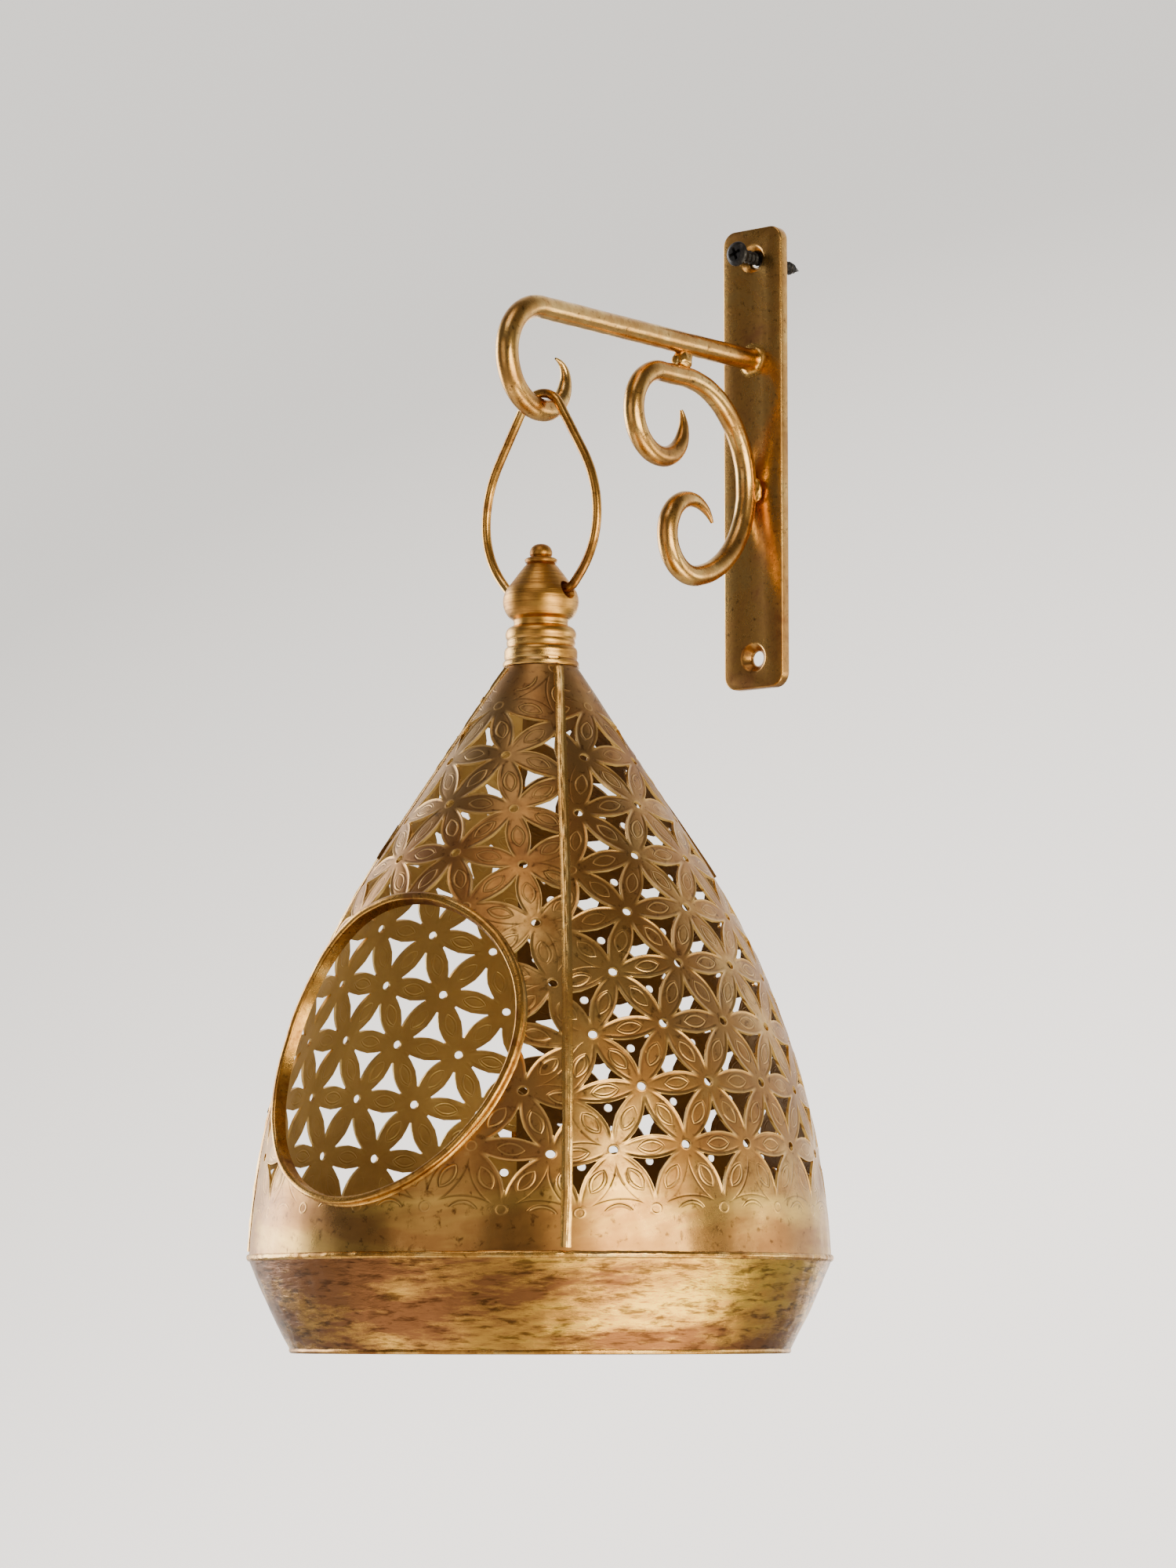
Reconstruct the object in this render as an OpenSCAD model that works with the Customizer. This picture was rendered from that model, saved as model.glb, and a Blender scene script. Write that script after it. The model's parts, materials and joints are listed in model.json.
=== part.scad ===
// Hanging pierced-brass lantern on a scrolled wall bracket.
// Origin: centre of the wall plate's back face. +Z is up, the wall is the plane y = 0
// and the object stands out from it towards -Y. Millimetres.

/* [Wall bracket] */
// Width of the wall plate
plate_w = 25; // [22:1:30]
// Height of the wall plate
plate_h = 159; // [155:1:180]
// Thickness of the wall plate
plate_t = 4; // [3:0.5:5]
// Corner radius of the wall plate
plate_corner = 5; // [3:0.5:8]
// Distance between the two screw holes
hole_spacing = 138; // [130:1:142]
// Diameter of the screw holes
hole_d = 5; // [4.6:0.1:5.5]
// Diameter of the countersinks at the front face
sink_d = 10; // [9:0.5:11]
// Diameter of the arm's round bar
arm_d = 7.5; // [7:0.1:8]
// Height of the arm's axis above the plate's middle
arm_z = 33.7; // [33:0.1:35]
// Distance from the wall to the lantern's axis
reach = 115.5; // [112:0.5:120]
// Bend radius of the hook, to the bar's axis
hook_r = 17; // [16.5:0.1:17.5]
// Diameter of the scroll's round bar
scroll_d = 7; // [6.5:0.1:7.2]

/* [Wall screw] */
// Diameter of the screw head
screw_head_d = 8.6; // [8:0.1:9]
// Diameter of the screw's shank over its threads
screw_d = 4.2; // [4:0.1:4.5]
// Gap between the plate's face and the back of the screw head
screw_proud = 7; // [5:0.5:9]

/* [Bail] */
// Diameter of the bail's wire
wire_d = 3; // [2.8:0.1:3.2]
// Width of the bail between its wires' axes
bail_w = 46.8; // [45:0.2:50]
// Bend radius at the top of the bail, to the wire's axis
bail_top_r = 9; // [8.5:0.1:9.5]

/* [Lantern body] */
// Height of the bail's axis in the knob, below the plate's middle
hole_drop = 59.6; // [59:0.1:60.5]
// Height of the lantern's lowest edge, below the plate's middle
bottom_drop = 303; // [300:0.5:310]
// Outer radius of the body where it leaves the collar
neck_r = 12.1; // [11.8:0.1:12.3]
// Outer radius of the body at its shoulder
shoulder_r = 92.3; // [88:0.1:96]
// Outer radius of the lower band at the bottom
foot_r = 78.8; // [76:0.1:81]
// Height of the lower band
band_h = 29.8; // [27:0.1:32]
// Half angle of the body's straight cone, from the vertical
cone_angle = 32.8; // [32:0.1:33.4]
// Slope of the wall at the shoulder, from the vertical
shoulder_angle = 3; // [2:0.5:5]
// Thickness of the sheet
sheet = 1; // [0.9:0.1:1.2]
// Width of the solder strip over each seam
seam_w = 4.6; // [4:0.1:5.5]
// Height of the solder strip over the sheet
seam_h = 0.9; // [0.6:0.1:1.2]

/* [Side opening] */
// Diameter of the round side opening
opening_d = 92; // [88:1:96]
// Height of the opening's centre, below the plate's middle
opening_drop = 210; // [206:1:213]
// Thickness of the rim around the opening
rim_t = 1.8; // [1.4:0.1:2.4]
// How far the rim stands out from the sheet
rim_h = 2.6; // [2:0.1:3.5]

/* [Pierced pattern] */
// Distance between neighbouring flower centres in a row
pitch = 24.2; // [23.5:0.1:25]
// Distance between rows of flowers down the slant
row_step = 19.6; // [19:0.1:20.5]
// Distance of the first row below the collar, down the slant
first_row = 36.5; // [36:0.1:39]
// Width of a petal as a share of the pitch
petal_share = 0.34; // [0.28:0.01:0.36]
// Radius of the round hole in a flower's centre
eye_r = 1.5; // [1:0.1:2]
// Distance of a cut-out's tip from the flower centre, as a share of the pitch
tip_share = 0.28; // [0.25:0.01:0.32]
// Plain sheet left below the collar, down the slant
plain_top = 18.5; // [16:0.5:24]
// Plain sheet left above the shoulder, up the slant
plain_bottom = 21.5; // [18:0.5:28]
// Plain sheet beside each seam and around the opening where no cut-out has its middle
plain_edge = 0.5; // [0.5:0.1:5]
// How far the pattern's fifth row sits aside of the middle of the front panel
front_aside = -4.2; // [-12:0.1:12]
// How far the pattern's fifth row sits aside of the middle of the right panel
right_aside = -4.7; // [-12:0.1:12]
// How far the pattern's fifth row sits aside of the middle of the left panel
left_aside = 7.6; // [-12:0.1:12]
// How far each row of the front panel steps aside from the row above it
front_lean = -0.9; // [-1.5:0.1:1.5]
// How far each row of the right panel steps aside from the row above it
right_lean = -0.6; // [-1.5:0.1:1.5]

/* [Candle holder] */
// Inner radius of the candle cup
cup_r = 20; // [19:0.5:25]
// Height of the candle cup
cup_h = 12; // [8:0.5:16]

/* [Hidden] */
$fn = 96;

// Small overlap that makes neighbouring solids of one piece into one
join = 0.4;
// Colours
gold = "goldenrod";
dark_gold = "darkgoldenrod";
bright = "gold";

// Bracket
arm_r = arm_d / 2;
scroll_r = scroll_d / 2;
face_y = -plate_t;
hook_centre = [-reach, arm_z - hook_r];
hook_low = arm_z - 2 * hook_r;
tip_r1 = 0.72 * hook_r;
tip_r2 = 0.35 * hook_r;

// Scroll: a large back bow, a straight top, an upper curl and a lower curl
bow_r = 33.7;
bow_centre = [face_y - scroll_r - bow_r, -11.5];
low_r = 12.9;
low_turn = 79.8;
low_centre = bow_centre + (bow_r - low_r) * [cos(low_turn), -sin(low_turn)];
up_r = 14.4;
up_centre = [bow_centre[0] - 12.5, bow_centre[1] + bow_r - up_r];
up_tip_r = 12;
up_tip_centre = [up_centre[0], up_centre[1] - up_r + up_tip_r];

// Bail: a pear made of tangent arcs and lines, from the knob upwards
wire_r = wire_d / 2;
hole_z = -hole_drop;
bail_half = bail_w / 2;
bail_gap = 0.3;
bail_top_z = hook_low + arm_r + bail_gap + wire_r;
bail_wide_z = -36;
pin_half = 10.5;
elbow_r = 4.5;
leg_angle = 49;
leg_start = [pin_half + elbow_r * sin(leg_angle), hole_z + elbow_r * (1 - cos(leg_angle))];
low_k = tan(leg_angle);
low_bow_r = ((bail_half - leg_start[0]) * low_k - (bail_wide_z - leg_start[1]))
    / ((1 - sin(leg_angle)) * low_k - cos(leg_angle));
low_bow_centre = [bail_half - low_bow_r, bail_wide_z];
leg_end = low_bow_centre + low_bow_r * [sin(leg_angle), -cos(leg_angle)];
flank_angle = 31;
top_centre = [0, bail_top_z - bail_top_r];
flank_top = top_centre + bail_top_r * [cos(flank_angle), sin(flank_angle)];
high_bow_r = (bail_half - flank_top[0] - (flank_top[1] - bail_wide_z) * tan(flank_angle))
    / (1 - cos(flank_angle) - sin(flank_angle) * tan(flank_angle));
high_bow_centre = [bail_half - high_bow_r, bail_wide_z];
flank_low = high_bow_centre + high_bow_r * [cos(flank_angle), sin(flank_angle)];

// Lantern heights, all on the lantern's axis
collar_top_z = hole_z - 11.4;
ring_low_z = collar_top_z - 6.6;
body_top_z = ring_low_z - 6.9;
knob_top_z = hole_z + 9.4;
bottom_z = -bottom_drop;
shoulder_z = bottom_z + band_h;
bead_half = 1;
panel_low_z = shoulder_z + bead_half;

// Meridian of the body: a straight cone, then one arc that turns down to the shoulder
fall = body_top_z - panel_low_z;
arc_rise = sin(cone_angle) - sin(shoulder_angle);
arc_run = cos(shoulder_angle) - cos(cone_angle);
arc_r = (fall * tan(cone_angle) - (shoulder_r - neck_r)) / (arc_rise * tan(cone_angle) - arc_run);
cone_len = (fall - arc_r * arc_rise) / cos(cone_angle);
cone_end = [neck_r + cone_len * sin(cone_angle), body_top_z - cone_len * cos(cone_angle)];
arc_centre = cone_end - arc_r * [cos(cone_angle), sin(cone_angle)];
slant = cone_len + arc_r * (cone_angle - shoulder_angle) * PI / 180;
arc_steps = 24;
rows = floor((slant - plain_bottom - first_row) / row_step);

// Slope, outer radius and height of the wall at a distance s down the slant
function slope(s) = s <= cone_len ? cone_angle : cone_angle - (s - cone_len) / arc_r * 180 / PI;
function wall(s) = s <= cone_len
    ? [neck_r + s * sin(cone_angle), body_top_z - s * cos(cone_angle)]
    : arc_centre + arc_r * [cos(slope(s)), sin(slope(s))];

// Floor
hem_h = 1.1;
floor_z = bottom_z + hem_h;
floor_top_z = floor_z + sheet;
rivet_r = 2;
rivet_top_r = 2.9;

// ---------- shared shapes ----------

// Stands a drawing of (y, z) points up in the plane x = 0
module in_yz() { rotate([90, 0, 90]) children(); }

// Stands a drawing of (x, z) points up in the lantern's plane y = -reach
module in_xz() { translate([0, -reach, 0]) rotate([90, 0, 0]) children(); }

module on_axis() { translate([0, -reach, 0]) children(); }

// Round bar bent along an arc of a drawing
module bar_arc(centre, bend, bar_r, from, to) {
    translate(centre) rotate([0, 0, from])
        rotate_extrude(angle = to - from) translate([bend, 0]) circle(r = bar_r, $fn = 48);
}

// Straight round bar between two points of a drawing
module bar_line(a, b, bar_r) {
    d = b - a;
    translate(a) rotate([0, 0, atan2(d[1], d[0])]) rotate([0, 90, 0])
        cylinder(r = bar_r, h = norm(d), $fn = 48);
}

function arc_points(centre, bend, from, to, steps) =
    [for (i = [0 : steps]) centre + bend * [cos(from + (to - from) * i / steps),
                                            sin(from + (to - from) * i / steps)]];

// Radius of a bar of n + 1 rings whose last `tapered` rings are drawn out to a point
function drawn_out(bar_r, i, n, tapered) =
    i <= n - tapered ? bar_r : bar_r * (1 - 0.86 * pow((i - n + tapered) / tapered, 1.7));

// Round bar that follows a list of drawing points, with a radius for each of them
module bar_along(path, radii, sides) {
    last = len(path) - 1;
    function heading(i) = let (d = path[min(i + 1, last)] - path[max(i - 1, 0)]) d / norm(d);
    rings = [for (i = [0 : last]) for (k = [0 : sides - 1])
        let (a = 360 * k / sides, h = heading(i), r = radii[i])
            [path[i][0] - h[1] * r * cos(a), path[i][1] + h[0] * r * cos(a), r * sin(a)]];
    skin = [for (i = [0 : last - 1]) for (k = [0 : sides - 1]) for (half = [0, 1])
        let (a = i * sides + k, b = i * sides + (k + 1) % sides)
            half == 0 ? [a, a + sides, b] : [b, a + sides, b + sides]];
    ends = [[for (k = [0 : sides - 1]) k], [for (k = [0 : sides - 1]) last * sides + sides - 1 - k]];
    polyhedron(points = rings, faces = concat(skin, ends), convexity = 6);
}

// Point of the wall at step i of the meridian, pushed out by d; the edges at both ends are level
function wall_point(i, d) = let (s = i == 0 ? 0 : cone_len + (slant - cone_len) * (i - 1) / arc_steps)
    i == 0 ? [neck_r + d / cos(cone_angle), body_top_z]
    : i == arc_steps + 1 ? [shoulder_r + d / cos(shoulder_angle), panel_low_z]
    : wall(s) + d * [cos(slope(s)), sin(slope(s))];

// Area between the wall pushed out by two distances, for revolving
module wall_section(inner, outer) {
    polygon(concat([for (i = [0 : arc_steps + 1]) wall_point(i, outer)],
                   [for (i = [arc_steps + 1 : -1 : 0]) wall_point(i, inner)]));
}

// Quarter of the body between two seams, facing a given azimuth from -Y towards +X
module quarter(azimuth) {
    on_axis() rotate([0, 0, azimuth - 135]) rotate_extrude(angle = 90) wall_section(-sheet, 0);
}

// ---------- bracket ----------

module wall_plate() {
    color(gold)
    difference() {
        translate([0, face_y, 0]) rotate([-90, 0, 0]) linear_extrude(plate_t) rounded_plate();
        for (side = [-1, 1]) translate([0, 0, side * hole_spacing / 2]) rotate([90, 0, 0]) {
            translate([0, 0, -1]) cylinder(d = hole_d, h = plate_t + 2);
            translate([0, 0, plate_t - 2.5]) cylinder(d1 = hole_d, d2 = sink_d + 0.2, h = 2.6);
        }
    }
}

module rounded_plate() {
    square([plate_w - 2 * plate_corner, plate_h], center = true);
    square([plate_w, plate_h - 2 * plate_corner], center = true);
    for (x = [-1, 1], z = [-1, 1])
        translate([x * (plate_w / 2 - plate_corner), z * (plate_h / 2 - plate_corner)])
            circle(r = plate_corner, $fn = 48);
}

module arm_hook() {
    tip = concat([[-reach - join, hook_low]],
        arc_points([-reach, hook_low + tip_r1], tip_r1, 270, 360, 14),
        arc_points([-reach + tip_r1 - tip_r2, hook_low + tip_r1], tip_r2, 8, 80, 9));
    n = len(tip) - 1;
    color(gold) in_yz() {
        bar_line([-reach, arm_z], [face_y, arm_z], arm_r);
        bar_arc(hook_centre, hook_r, arm_r, 90, 270);
        bar_along(tip, [for (i = [0 : n]) drawn_out(arm_r - 0.02, i, n, n)], 16);
    }
}

module scroll_brace() {
    curl = arc_points(up_tip_centre, up_tip_r, 386, 274, 18);
    upper = arc_points(up_centre, up_r, 270, 90, 18);
    bow = arc_points(bow_centre, bow_r, 90, -low_turn, 22);
    low = arc_points(low_centre, low_r, -low_turn - 8, -330, 30);
    path = concat(curl, upper, bow, low);
    n = len(path) - 1;
    radii = [for (i = [0 : n]) min(drawn_out(scroll_r, n - i, n, 20), drawn_out(scroll_r, i, n, 22))];
    color(gold) in_yz() bar_along(path, radii, 16);
}

// Weld fillet around the arm's root
module weld_arm_root() {
    color(bright) translate([0, face_y, arm_z]) rotate([90, 0, 0]) rotate_extrude()
        difference() {
            polygon([[arm_r, 0], [arm_r + 2.6, 0], [arm_r, 2.6]]);
            translate([arm_r + 3, 3]) circle(r = 2.2, $fn = 48);
        }
}

// Weld bead between the arm's underside and the scroll's top, waisted and melted into both
module weld_scroll_top() {
    melt = 0.5;
    low = bow_centre[1] + bow_r + scroll_r - melt;
    high = arm_z - arm_r + melt;
    color(bright) translate([0, bow_centre[0] - 1, low]) rotate_extrude() difference() {
        square([3.2, high - low]);
        translate([4.6, (high - low) / 2]) circle(r = 2.2, $fn = 48);
    }
}

// Weld bead between the plate's face and the scroll's back, on both sides of the bar
module weld_scroll_back() {
    color(bright) difference() {
        translate([0, face_y, bow_centre[1]]) rotate([90, 0, 0]) cylinder(r1 = 6, r2 = 4.6, h = scroll_r);
        in_yz() bar_arc(bow_centre, bow_r, scroll_r, -20, 20);
    }
}

module wall_screw() {
    head_y = face_y - screw_proud;
    axis_z = (hole_spacing + hole_d - screw_d) / 2;
    length = 30;
    turns = 9;
    thread = 2.2;
    color("dimgray") translate([0, head_y, axis_z]) rotate([-90, 0, 0]) difference() {
        rotate_extrude() {
            difference() {
                polygon([[0, -2.6], [screw_head_d / 2 - 1.2, -2.6], [screw_head_d / 2, -1.2],
                         [screw_head_d / 2, -0.8], [screw_d / 2, 1.4], [screw_d / 2, 2],
                         [screw_d / 2 - 0.6, length], [0, length + 4]]);
                for (i = [0 : turns]) translate([screw_d / 2 + 0.25, 4.6 + i * thread])
                    circle(r = 0.8, $fn = 24);
            }
        }
        // cross recess
        for (a = [0, 90]) rotate([0, 0, a + 20]) translate([-2.6, -0.5, -3]) cube([5.2, 1, 1.9]);
    }
}

// ---------- bail ----------

module bail() {
    leg = concat([[pin_half - join, hole_z]],
        arc_points([pin_half, hole_z + elbow_r], elbow_r, -90, leg_angle - 90, 5),
        arc_points(low_bow_centre, low_bow_r, leg_angle - 90, 0, 8),
        arc_points(high_bow_centre, high_bow_r, flank_angle / 4, flank_angle, 3));
    top = arc_points(top_centre, bail_top_r, flank_angle, 180 - flank_angle, 14);
    other_leg = [for (i = [len(leg) - 1 : -1 : 0]) [-leg[i][0], leg[i][1]]];
    loop = concat(leg, top, other_leg);
    color(gold) in_xz() {
        bar_line([-pin_half, hole_z], [pin_half, hole_z], wire_r);
        bar_along(loop, [for (p = loop) wire_r - 0.01], 14);
    }
}

// ---------- knob and collar ----------

module finial_button() {
    color(bright) on_axis() rotate_extrude() {
        translate([0, knob_top_z]) square([5.2, 1.5]);
        translate([0, knob_top_z]) square([3.4, 3]);
        intersection() {
            translate([0, knob_top_z + 2.1]) circle(r = 3.9, $fn = 48);
            translate([0, knob_top_z + 2]) square([5, 5]);
        }
    }
}

module finial_knob() {
    color(gold) on_axis() difference() {
        rotate_extrude() intersection() {
            union() {
                translate([4.7, hole_z - 3.4]) circle(r = 7.5, $fn = 72);
                polygon([[0, collar_top_z], [8.8, collar_top_z], [8.8, hole_z - 6], [10.4, hole_z + 1.4],
                         [4.4, knob_top_z], [0, knob_top_z]]);
            }
            translate([0, collar_top_z]) square([20, 40]);
        }
        // cross hole for the bail, opened out towards both mouths
        translate([-20, 0, hole_z]) rotate([0, 90, 0]) cylinder(r = wire_r + 0.3, h = 40);
        for (side = [-1, 1]) translate([side * 8, 0, hole_z]) rotate([0, side * 90, 0])
            cylinder(r1 = wire_r + 0.3, r2 = 3.4, h = 5);
        // blind hole for the stud
        translate([0, 0, collar_top_z - 1]) cylinder(r = 2.6, h = 6.1);
    }
}

module collar_ring() {
    color(bright) on_axis() rotate_extrude() difference() {
        union() {
            translate([8.8, (collar_top_z + ring_low_z) / 2]) circle(r = 2.8, $fn = 48);
            translate([0, ring_low_z]) square([8.8, collar_top_z - ring_low_z]);
        }
        translate([0, ring_low_z - 1]) square([2.6, 10]);
    }
}

module collar_band() {
    edge = 0.9;
    color(gold) on_axis() difference() {
        rotate_extrude() difference() {
            polygon([[2.6, body_top_z], [12.3, body_top_z], [12.3, body_top_z + edge],
                     [11.7, body_top_z + edge + 0.5], [12.3 - edge, ring_low_z], [2.6, ring_low_z]]);
        }
        // slot for the flat of a driver
        rotate([0, 0, -30]) translate([10.9, -1.9, body_top_z + 1.6]) cube([3, 3.8, 0.9]);
    }
}

module tie_stud() {
    low = body_top_z - 8;
    color("silver") on_axis() translate([0, 0, low]) cylinder(r = 2.5, h = collar_top_z + 5 - low);
}

module crown_washer() {
    color(dark_gold) on_axis() translate([0, 0, body_top_z - 1.2]) difference() {
        cylinder(r = 10.6, h = 1.2);
        translate([0, 0, -1]) cylinder(r = 2.6, h = 4);
    }
}

module stud_nut() {
    color("silver") on_axis() translate([0, 0, body_top_z - 5.4]) difference() {
        cylinder(r = 5, h = 4.2, $fn = 6);
        translate([0, 0, -1]) cylinder(r = 2.5, h = 8, $fn = 48);
    }
}

// ---------- pierced pattern ----------

// Tool for one cut-out between three flowers: a triangle with blunt tips whose sides are bowed in
// by the petals. way is 1 or -1 for the two ways that it points.
module cutout(way) {
    near = -way * row_step / 3;
    corners = [[way * row_step * 2 / 3, 0], [near, pitch / 2], [near, -pitch / 2]];
    bow = petal_share * pitch / 2;
    linear_extrude(6, center = true) polygon([for (k = [0 : 2]) let (
            a = corners[k],
            b = corners[(k + 1) % 3],
            half = norm(b - a) / 2,
            along = (b - a) / (2 * half),
            inward = -(a + b) / norm(a + b),
            petal_arc_r = (half * half + bow * bow) / (2 * bow))
        for (step = [-1, -0.4, 0.4, 1]) let (
            t = step * (half - tip_share * pitch),
            depth = sqrt(petal_arc_r * petal_arc_r - t * t) - petal_arc_r + bow)
            (a + b) / 2 + along * t + inward * depth]);
}

// Where a point of the flat sheet lands when a panel is bent: [distance down the slant, azimuth].
// x is across the panel from its middle line, y down that line.
function bent(x, y) = let (r = wall(y)[0], s = y + x * x * sin(slope(y)) / (2 * r))
    [s, x / wall(s)[0] * 180 / PI];

// Places a drawing on the wall at a point of the flat sheet, its x axis down the slant
module on_wall(x, y) {
    place = bent(x, y);
    turn = x / wall(y)[0] * 180 / PI * sin(slope(y));
    at = wall(place[0]);
    rotate([0, 0, place[1]]) translate([at[0], 0, at[1]]) rotate([0, 90 - slope(place[0]), 0])
        rotate([0, 0, turn]) children();
}

// Half the width of a panel, along the sheet
function half_width(y) = wall(y)[0] * PI / 4;

// Is the sheet plain at this point, with a margin?
function pierced(x, y, margin, opening) = let (place = bent(x, y))
    y > plain_top + margin && place[0] < slant - plain_bottom - margin
    && abs(x) < half_width(place[0]) - plain_edge - margin
    && (!opening || norm([wall(place[0])[0] * sin(place[1]), wall(place[0])[1] + opening_drop])
        > opening_d / 2 + rim_t + plain_edge + margin);

// Tools that pierce a panel facing azimuth, clear of the side opening if it has one. aside and lean
// place the rows of flowers across the panel.
module piercings(azimuth, opening, aside, lean) {
    across = ceil(PI / 4 * shoulder_r / pitch) + 1;
    on_axis() rotate([0, 0, azimuth - 90]) for (row = [-1 : rows]) {
        y = first_row + row * row_step;
        half = row % 2 == 0 ? 0.5 : 0;
        for (k = [-across : across]) {
            x = (k + half) * pitch + aside + lean * (row - 4);
            low = y + row_step * 2 / 3;
            high = y + row_step / 3;
            if (row >= 0 && pierced(x, y, eye_r + 0.8, opening))
                on_wall(x, y) cylinder(r = eye_r, h = 6, center = true);
            if (pierced(x, low, 1.5, opening)) on_wall(x, low) cutout(-1);
            if (pierced(x + pitch / 2, high, 1.5, opening)) on_wall(x + pitch / 2, high) cutout(1);
        }
    }
}

// ---------- body ----------

module front_panel() {
    color(gold) difference() {
        quarter(0);
        opening_bore(opening_d / 2 + rim_t);
        piercings(0, true, front_aside, front_lean);
    }
}

module closed_panel(azimuth, aside, lean) {
    color(gold) difference() {
        quarter(azimuth);
        piercings(azimuth, false, aside, lean);
    }
}
module right_panel() { closed_panel(90, right_aside, right_lean); }
module back_panel() { closed_panel(180, 0, 0); }
module left_panel() { closed_panel(270, left_aside, 0); }

// Cylinder along the side opening, from the lantern's axis outwards
module opening_bore(radius) {
    translate([0, -reach - 20, -opening_drop]) rotate([90, 0, 0]) cylinder(r = radius, h = shoulder_r);
}

module seam(azimuth) {
    color(bright) on_axis() rotate([0, 0, azimuth - 90]) intersection() {
        rotate([0, 0, -40]) rotate_extrude(angle = 80) wall_section(0, seam_h);
        translate([0, -seam_w / 2, panel_low_z]) cube([120, seam_w, fall - 2]);
    }
}
module seam_front_right() { seam(45); }
module seam_back_right() { seam(135); }
module seam_back_left() { seam(225); }
module seam_front_left() { seam(315); }

module opening_rim() {
    color(bright) difference() {
        intersection() {
            on_axis() rotate([0, 0, -160]) rotate_extrude(angle = 140) wall_section(-sheet - 0.6, rim_h);
            opening_bore(opening_d / 2 + rim_t);
        }
        opening_bore(opening_d / 2);
    }
}

module shoulder_bead() {
    color(bright) on_axis() rotate_extrude() intersection() {
        translate([shoulder_r - 0.6, shoulder_z]) circle(r = 1.7, $fn = 48);
        translate([shoulder_r - 5, shoulder_z - bead_half]) square([10, 2 * bead_half]);
    }
}

module lower_band() {
    top = shoulder_z - bead_half;
    low = floor_z;
    top_r = shoulder_r - 0.3;
    color(gold) on_axis() rotate_extrude()
        polygon([[top_r, top], [foot_r + 0.5, low], [foot_r - sheet - 0.4, low], [top_r - sheet, top]]);
}

module bottom_hem() {
    color(bright) on_axis() rotate_extrude() intersection() {
        translate([foot_r - 1.1, floor_z - 0.2]) circle(r = 1.7, $fn = 48);
        translate([foot_r - 5, bottom_z]) square([10, hem_h]);
    }
}

module base_plate() {
    color(dark_gold) on_axis() translate([0, 0, floor_z]) difference() {
        cylinder(r = foot_r - 1.6, h = sheet);
        translate([0, 0, -1]) cylinder(r = rivet_r, h = 4);
    }
}

module candle_cup() {
    color(dark_gold) on_axis() translate([0, 0, floor_top_z]) difference() {
        cylinder(r = cup_r + sheet, h = cup_h);
        translate([0, 0, sheet]) cylinder(r = cup_r, h = cup_h);
        cylinder(r1 = rivet_r, r2 = rivet_top_r, h = sheet);
    }
}

module cup_rivet() {
    color("silver") on_axis() translate([0, 0, floor_z]) {
        translate([0, 0, -0.9]) cylinder(r = 4, h = 0.9);
        cylinder(r = rivet_r, h = sheet);
        translate([0, 0, sheet]) cylinder(r1 = rivet_r, r2 = rivet_top_r, h = sheet);
    }
}

wall_plate();
arm_hook();
scroll_brace();
weld_arm_root();
weld_scroll_top();
weld_scroll_back();
wall_screw();
bail();
finial_button();
finial_knob();
collar_ring();
collar_band();
tie_stud();
crown_washer();
stud_nut();
front_panel();
right_panel();
back_panel();
left_panel();
seam_front_right();
seam_back_right();
seam_back_left();
seam_front_left();
opening_rim();
shoulder_bead();
lower_band();
bottom_hem();
base_plate();
candle_cup();
cup_rivet();
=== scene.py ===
import json
import math

import bmesh
import bpy
import numpy as np
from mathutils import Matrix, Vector, noise


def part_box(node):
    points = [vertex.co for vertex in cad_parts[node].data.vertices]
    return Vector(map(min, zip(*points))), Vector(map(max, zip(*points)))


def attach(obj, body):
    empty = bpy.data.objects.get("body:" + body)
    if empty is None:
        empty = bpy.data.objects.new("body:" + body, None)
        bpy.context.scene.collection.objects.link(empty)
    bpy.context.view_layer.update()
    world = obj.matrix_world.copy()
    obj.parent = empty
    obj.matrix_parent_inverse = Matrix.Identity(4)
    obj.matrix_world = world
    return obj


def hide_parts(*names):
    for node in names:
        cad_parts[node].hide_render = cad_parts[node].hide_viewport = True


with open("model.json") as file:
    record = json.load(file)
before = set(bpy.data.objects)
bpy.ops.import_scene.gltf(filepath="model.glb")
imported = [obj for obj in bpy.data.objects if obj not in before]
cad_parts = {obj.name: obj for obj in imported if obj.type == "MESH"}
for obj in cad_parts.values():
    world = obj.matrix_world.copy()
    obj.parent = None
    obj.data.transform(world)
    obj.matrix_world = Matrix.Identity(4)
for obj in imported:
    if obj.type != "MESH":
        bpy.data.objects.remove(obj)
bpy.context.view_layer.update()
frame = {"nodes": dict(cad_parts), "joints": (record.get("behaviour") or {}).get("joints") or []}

MM = 0.001
TAU = 2 * math.pi

# ---- sizes, in millimetres
JOINT = {j["name"]: [v / MM for v in j["pos_m"]] for j in frame["joints"]}
HOOK_LOW_Z = JOINT["bail_swing"][2]
HOLE_Z = JOINT["lantern_tilt"][2]
AXIS_Y = JOINT["lantern_tilt"][1]


def box_mm(node):
    low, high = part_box(node)
    return np.array(low) / MM, np.array(high) / MM


PLATE_LOW, PLATE_HIGH = box_mm("wall_plate")
PANEL_LOW, PANEL_HIGH = box_mm("right_panel")
BAND_LOW, BAND_HIGH = box_mm("lower_band")
HEM_LOW, HEM_HIGH = box_mm("bottom_hem")
BEAD_LOW, BEAD_HIGH = box_mm("shoulder_bead")

FACE_Y = PLATE_LOW[1]
ARM_R = 3.75
HOOK_R = 17.0
ARM_Z = HOOK_LOW_Z + 2 * HOOK_R
SCROLL_R = 3.5
WIRE_R = 1.5
SHEET = 1.0

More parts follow.
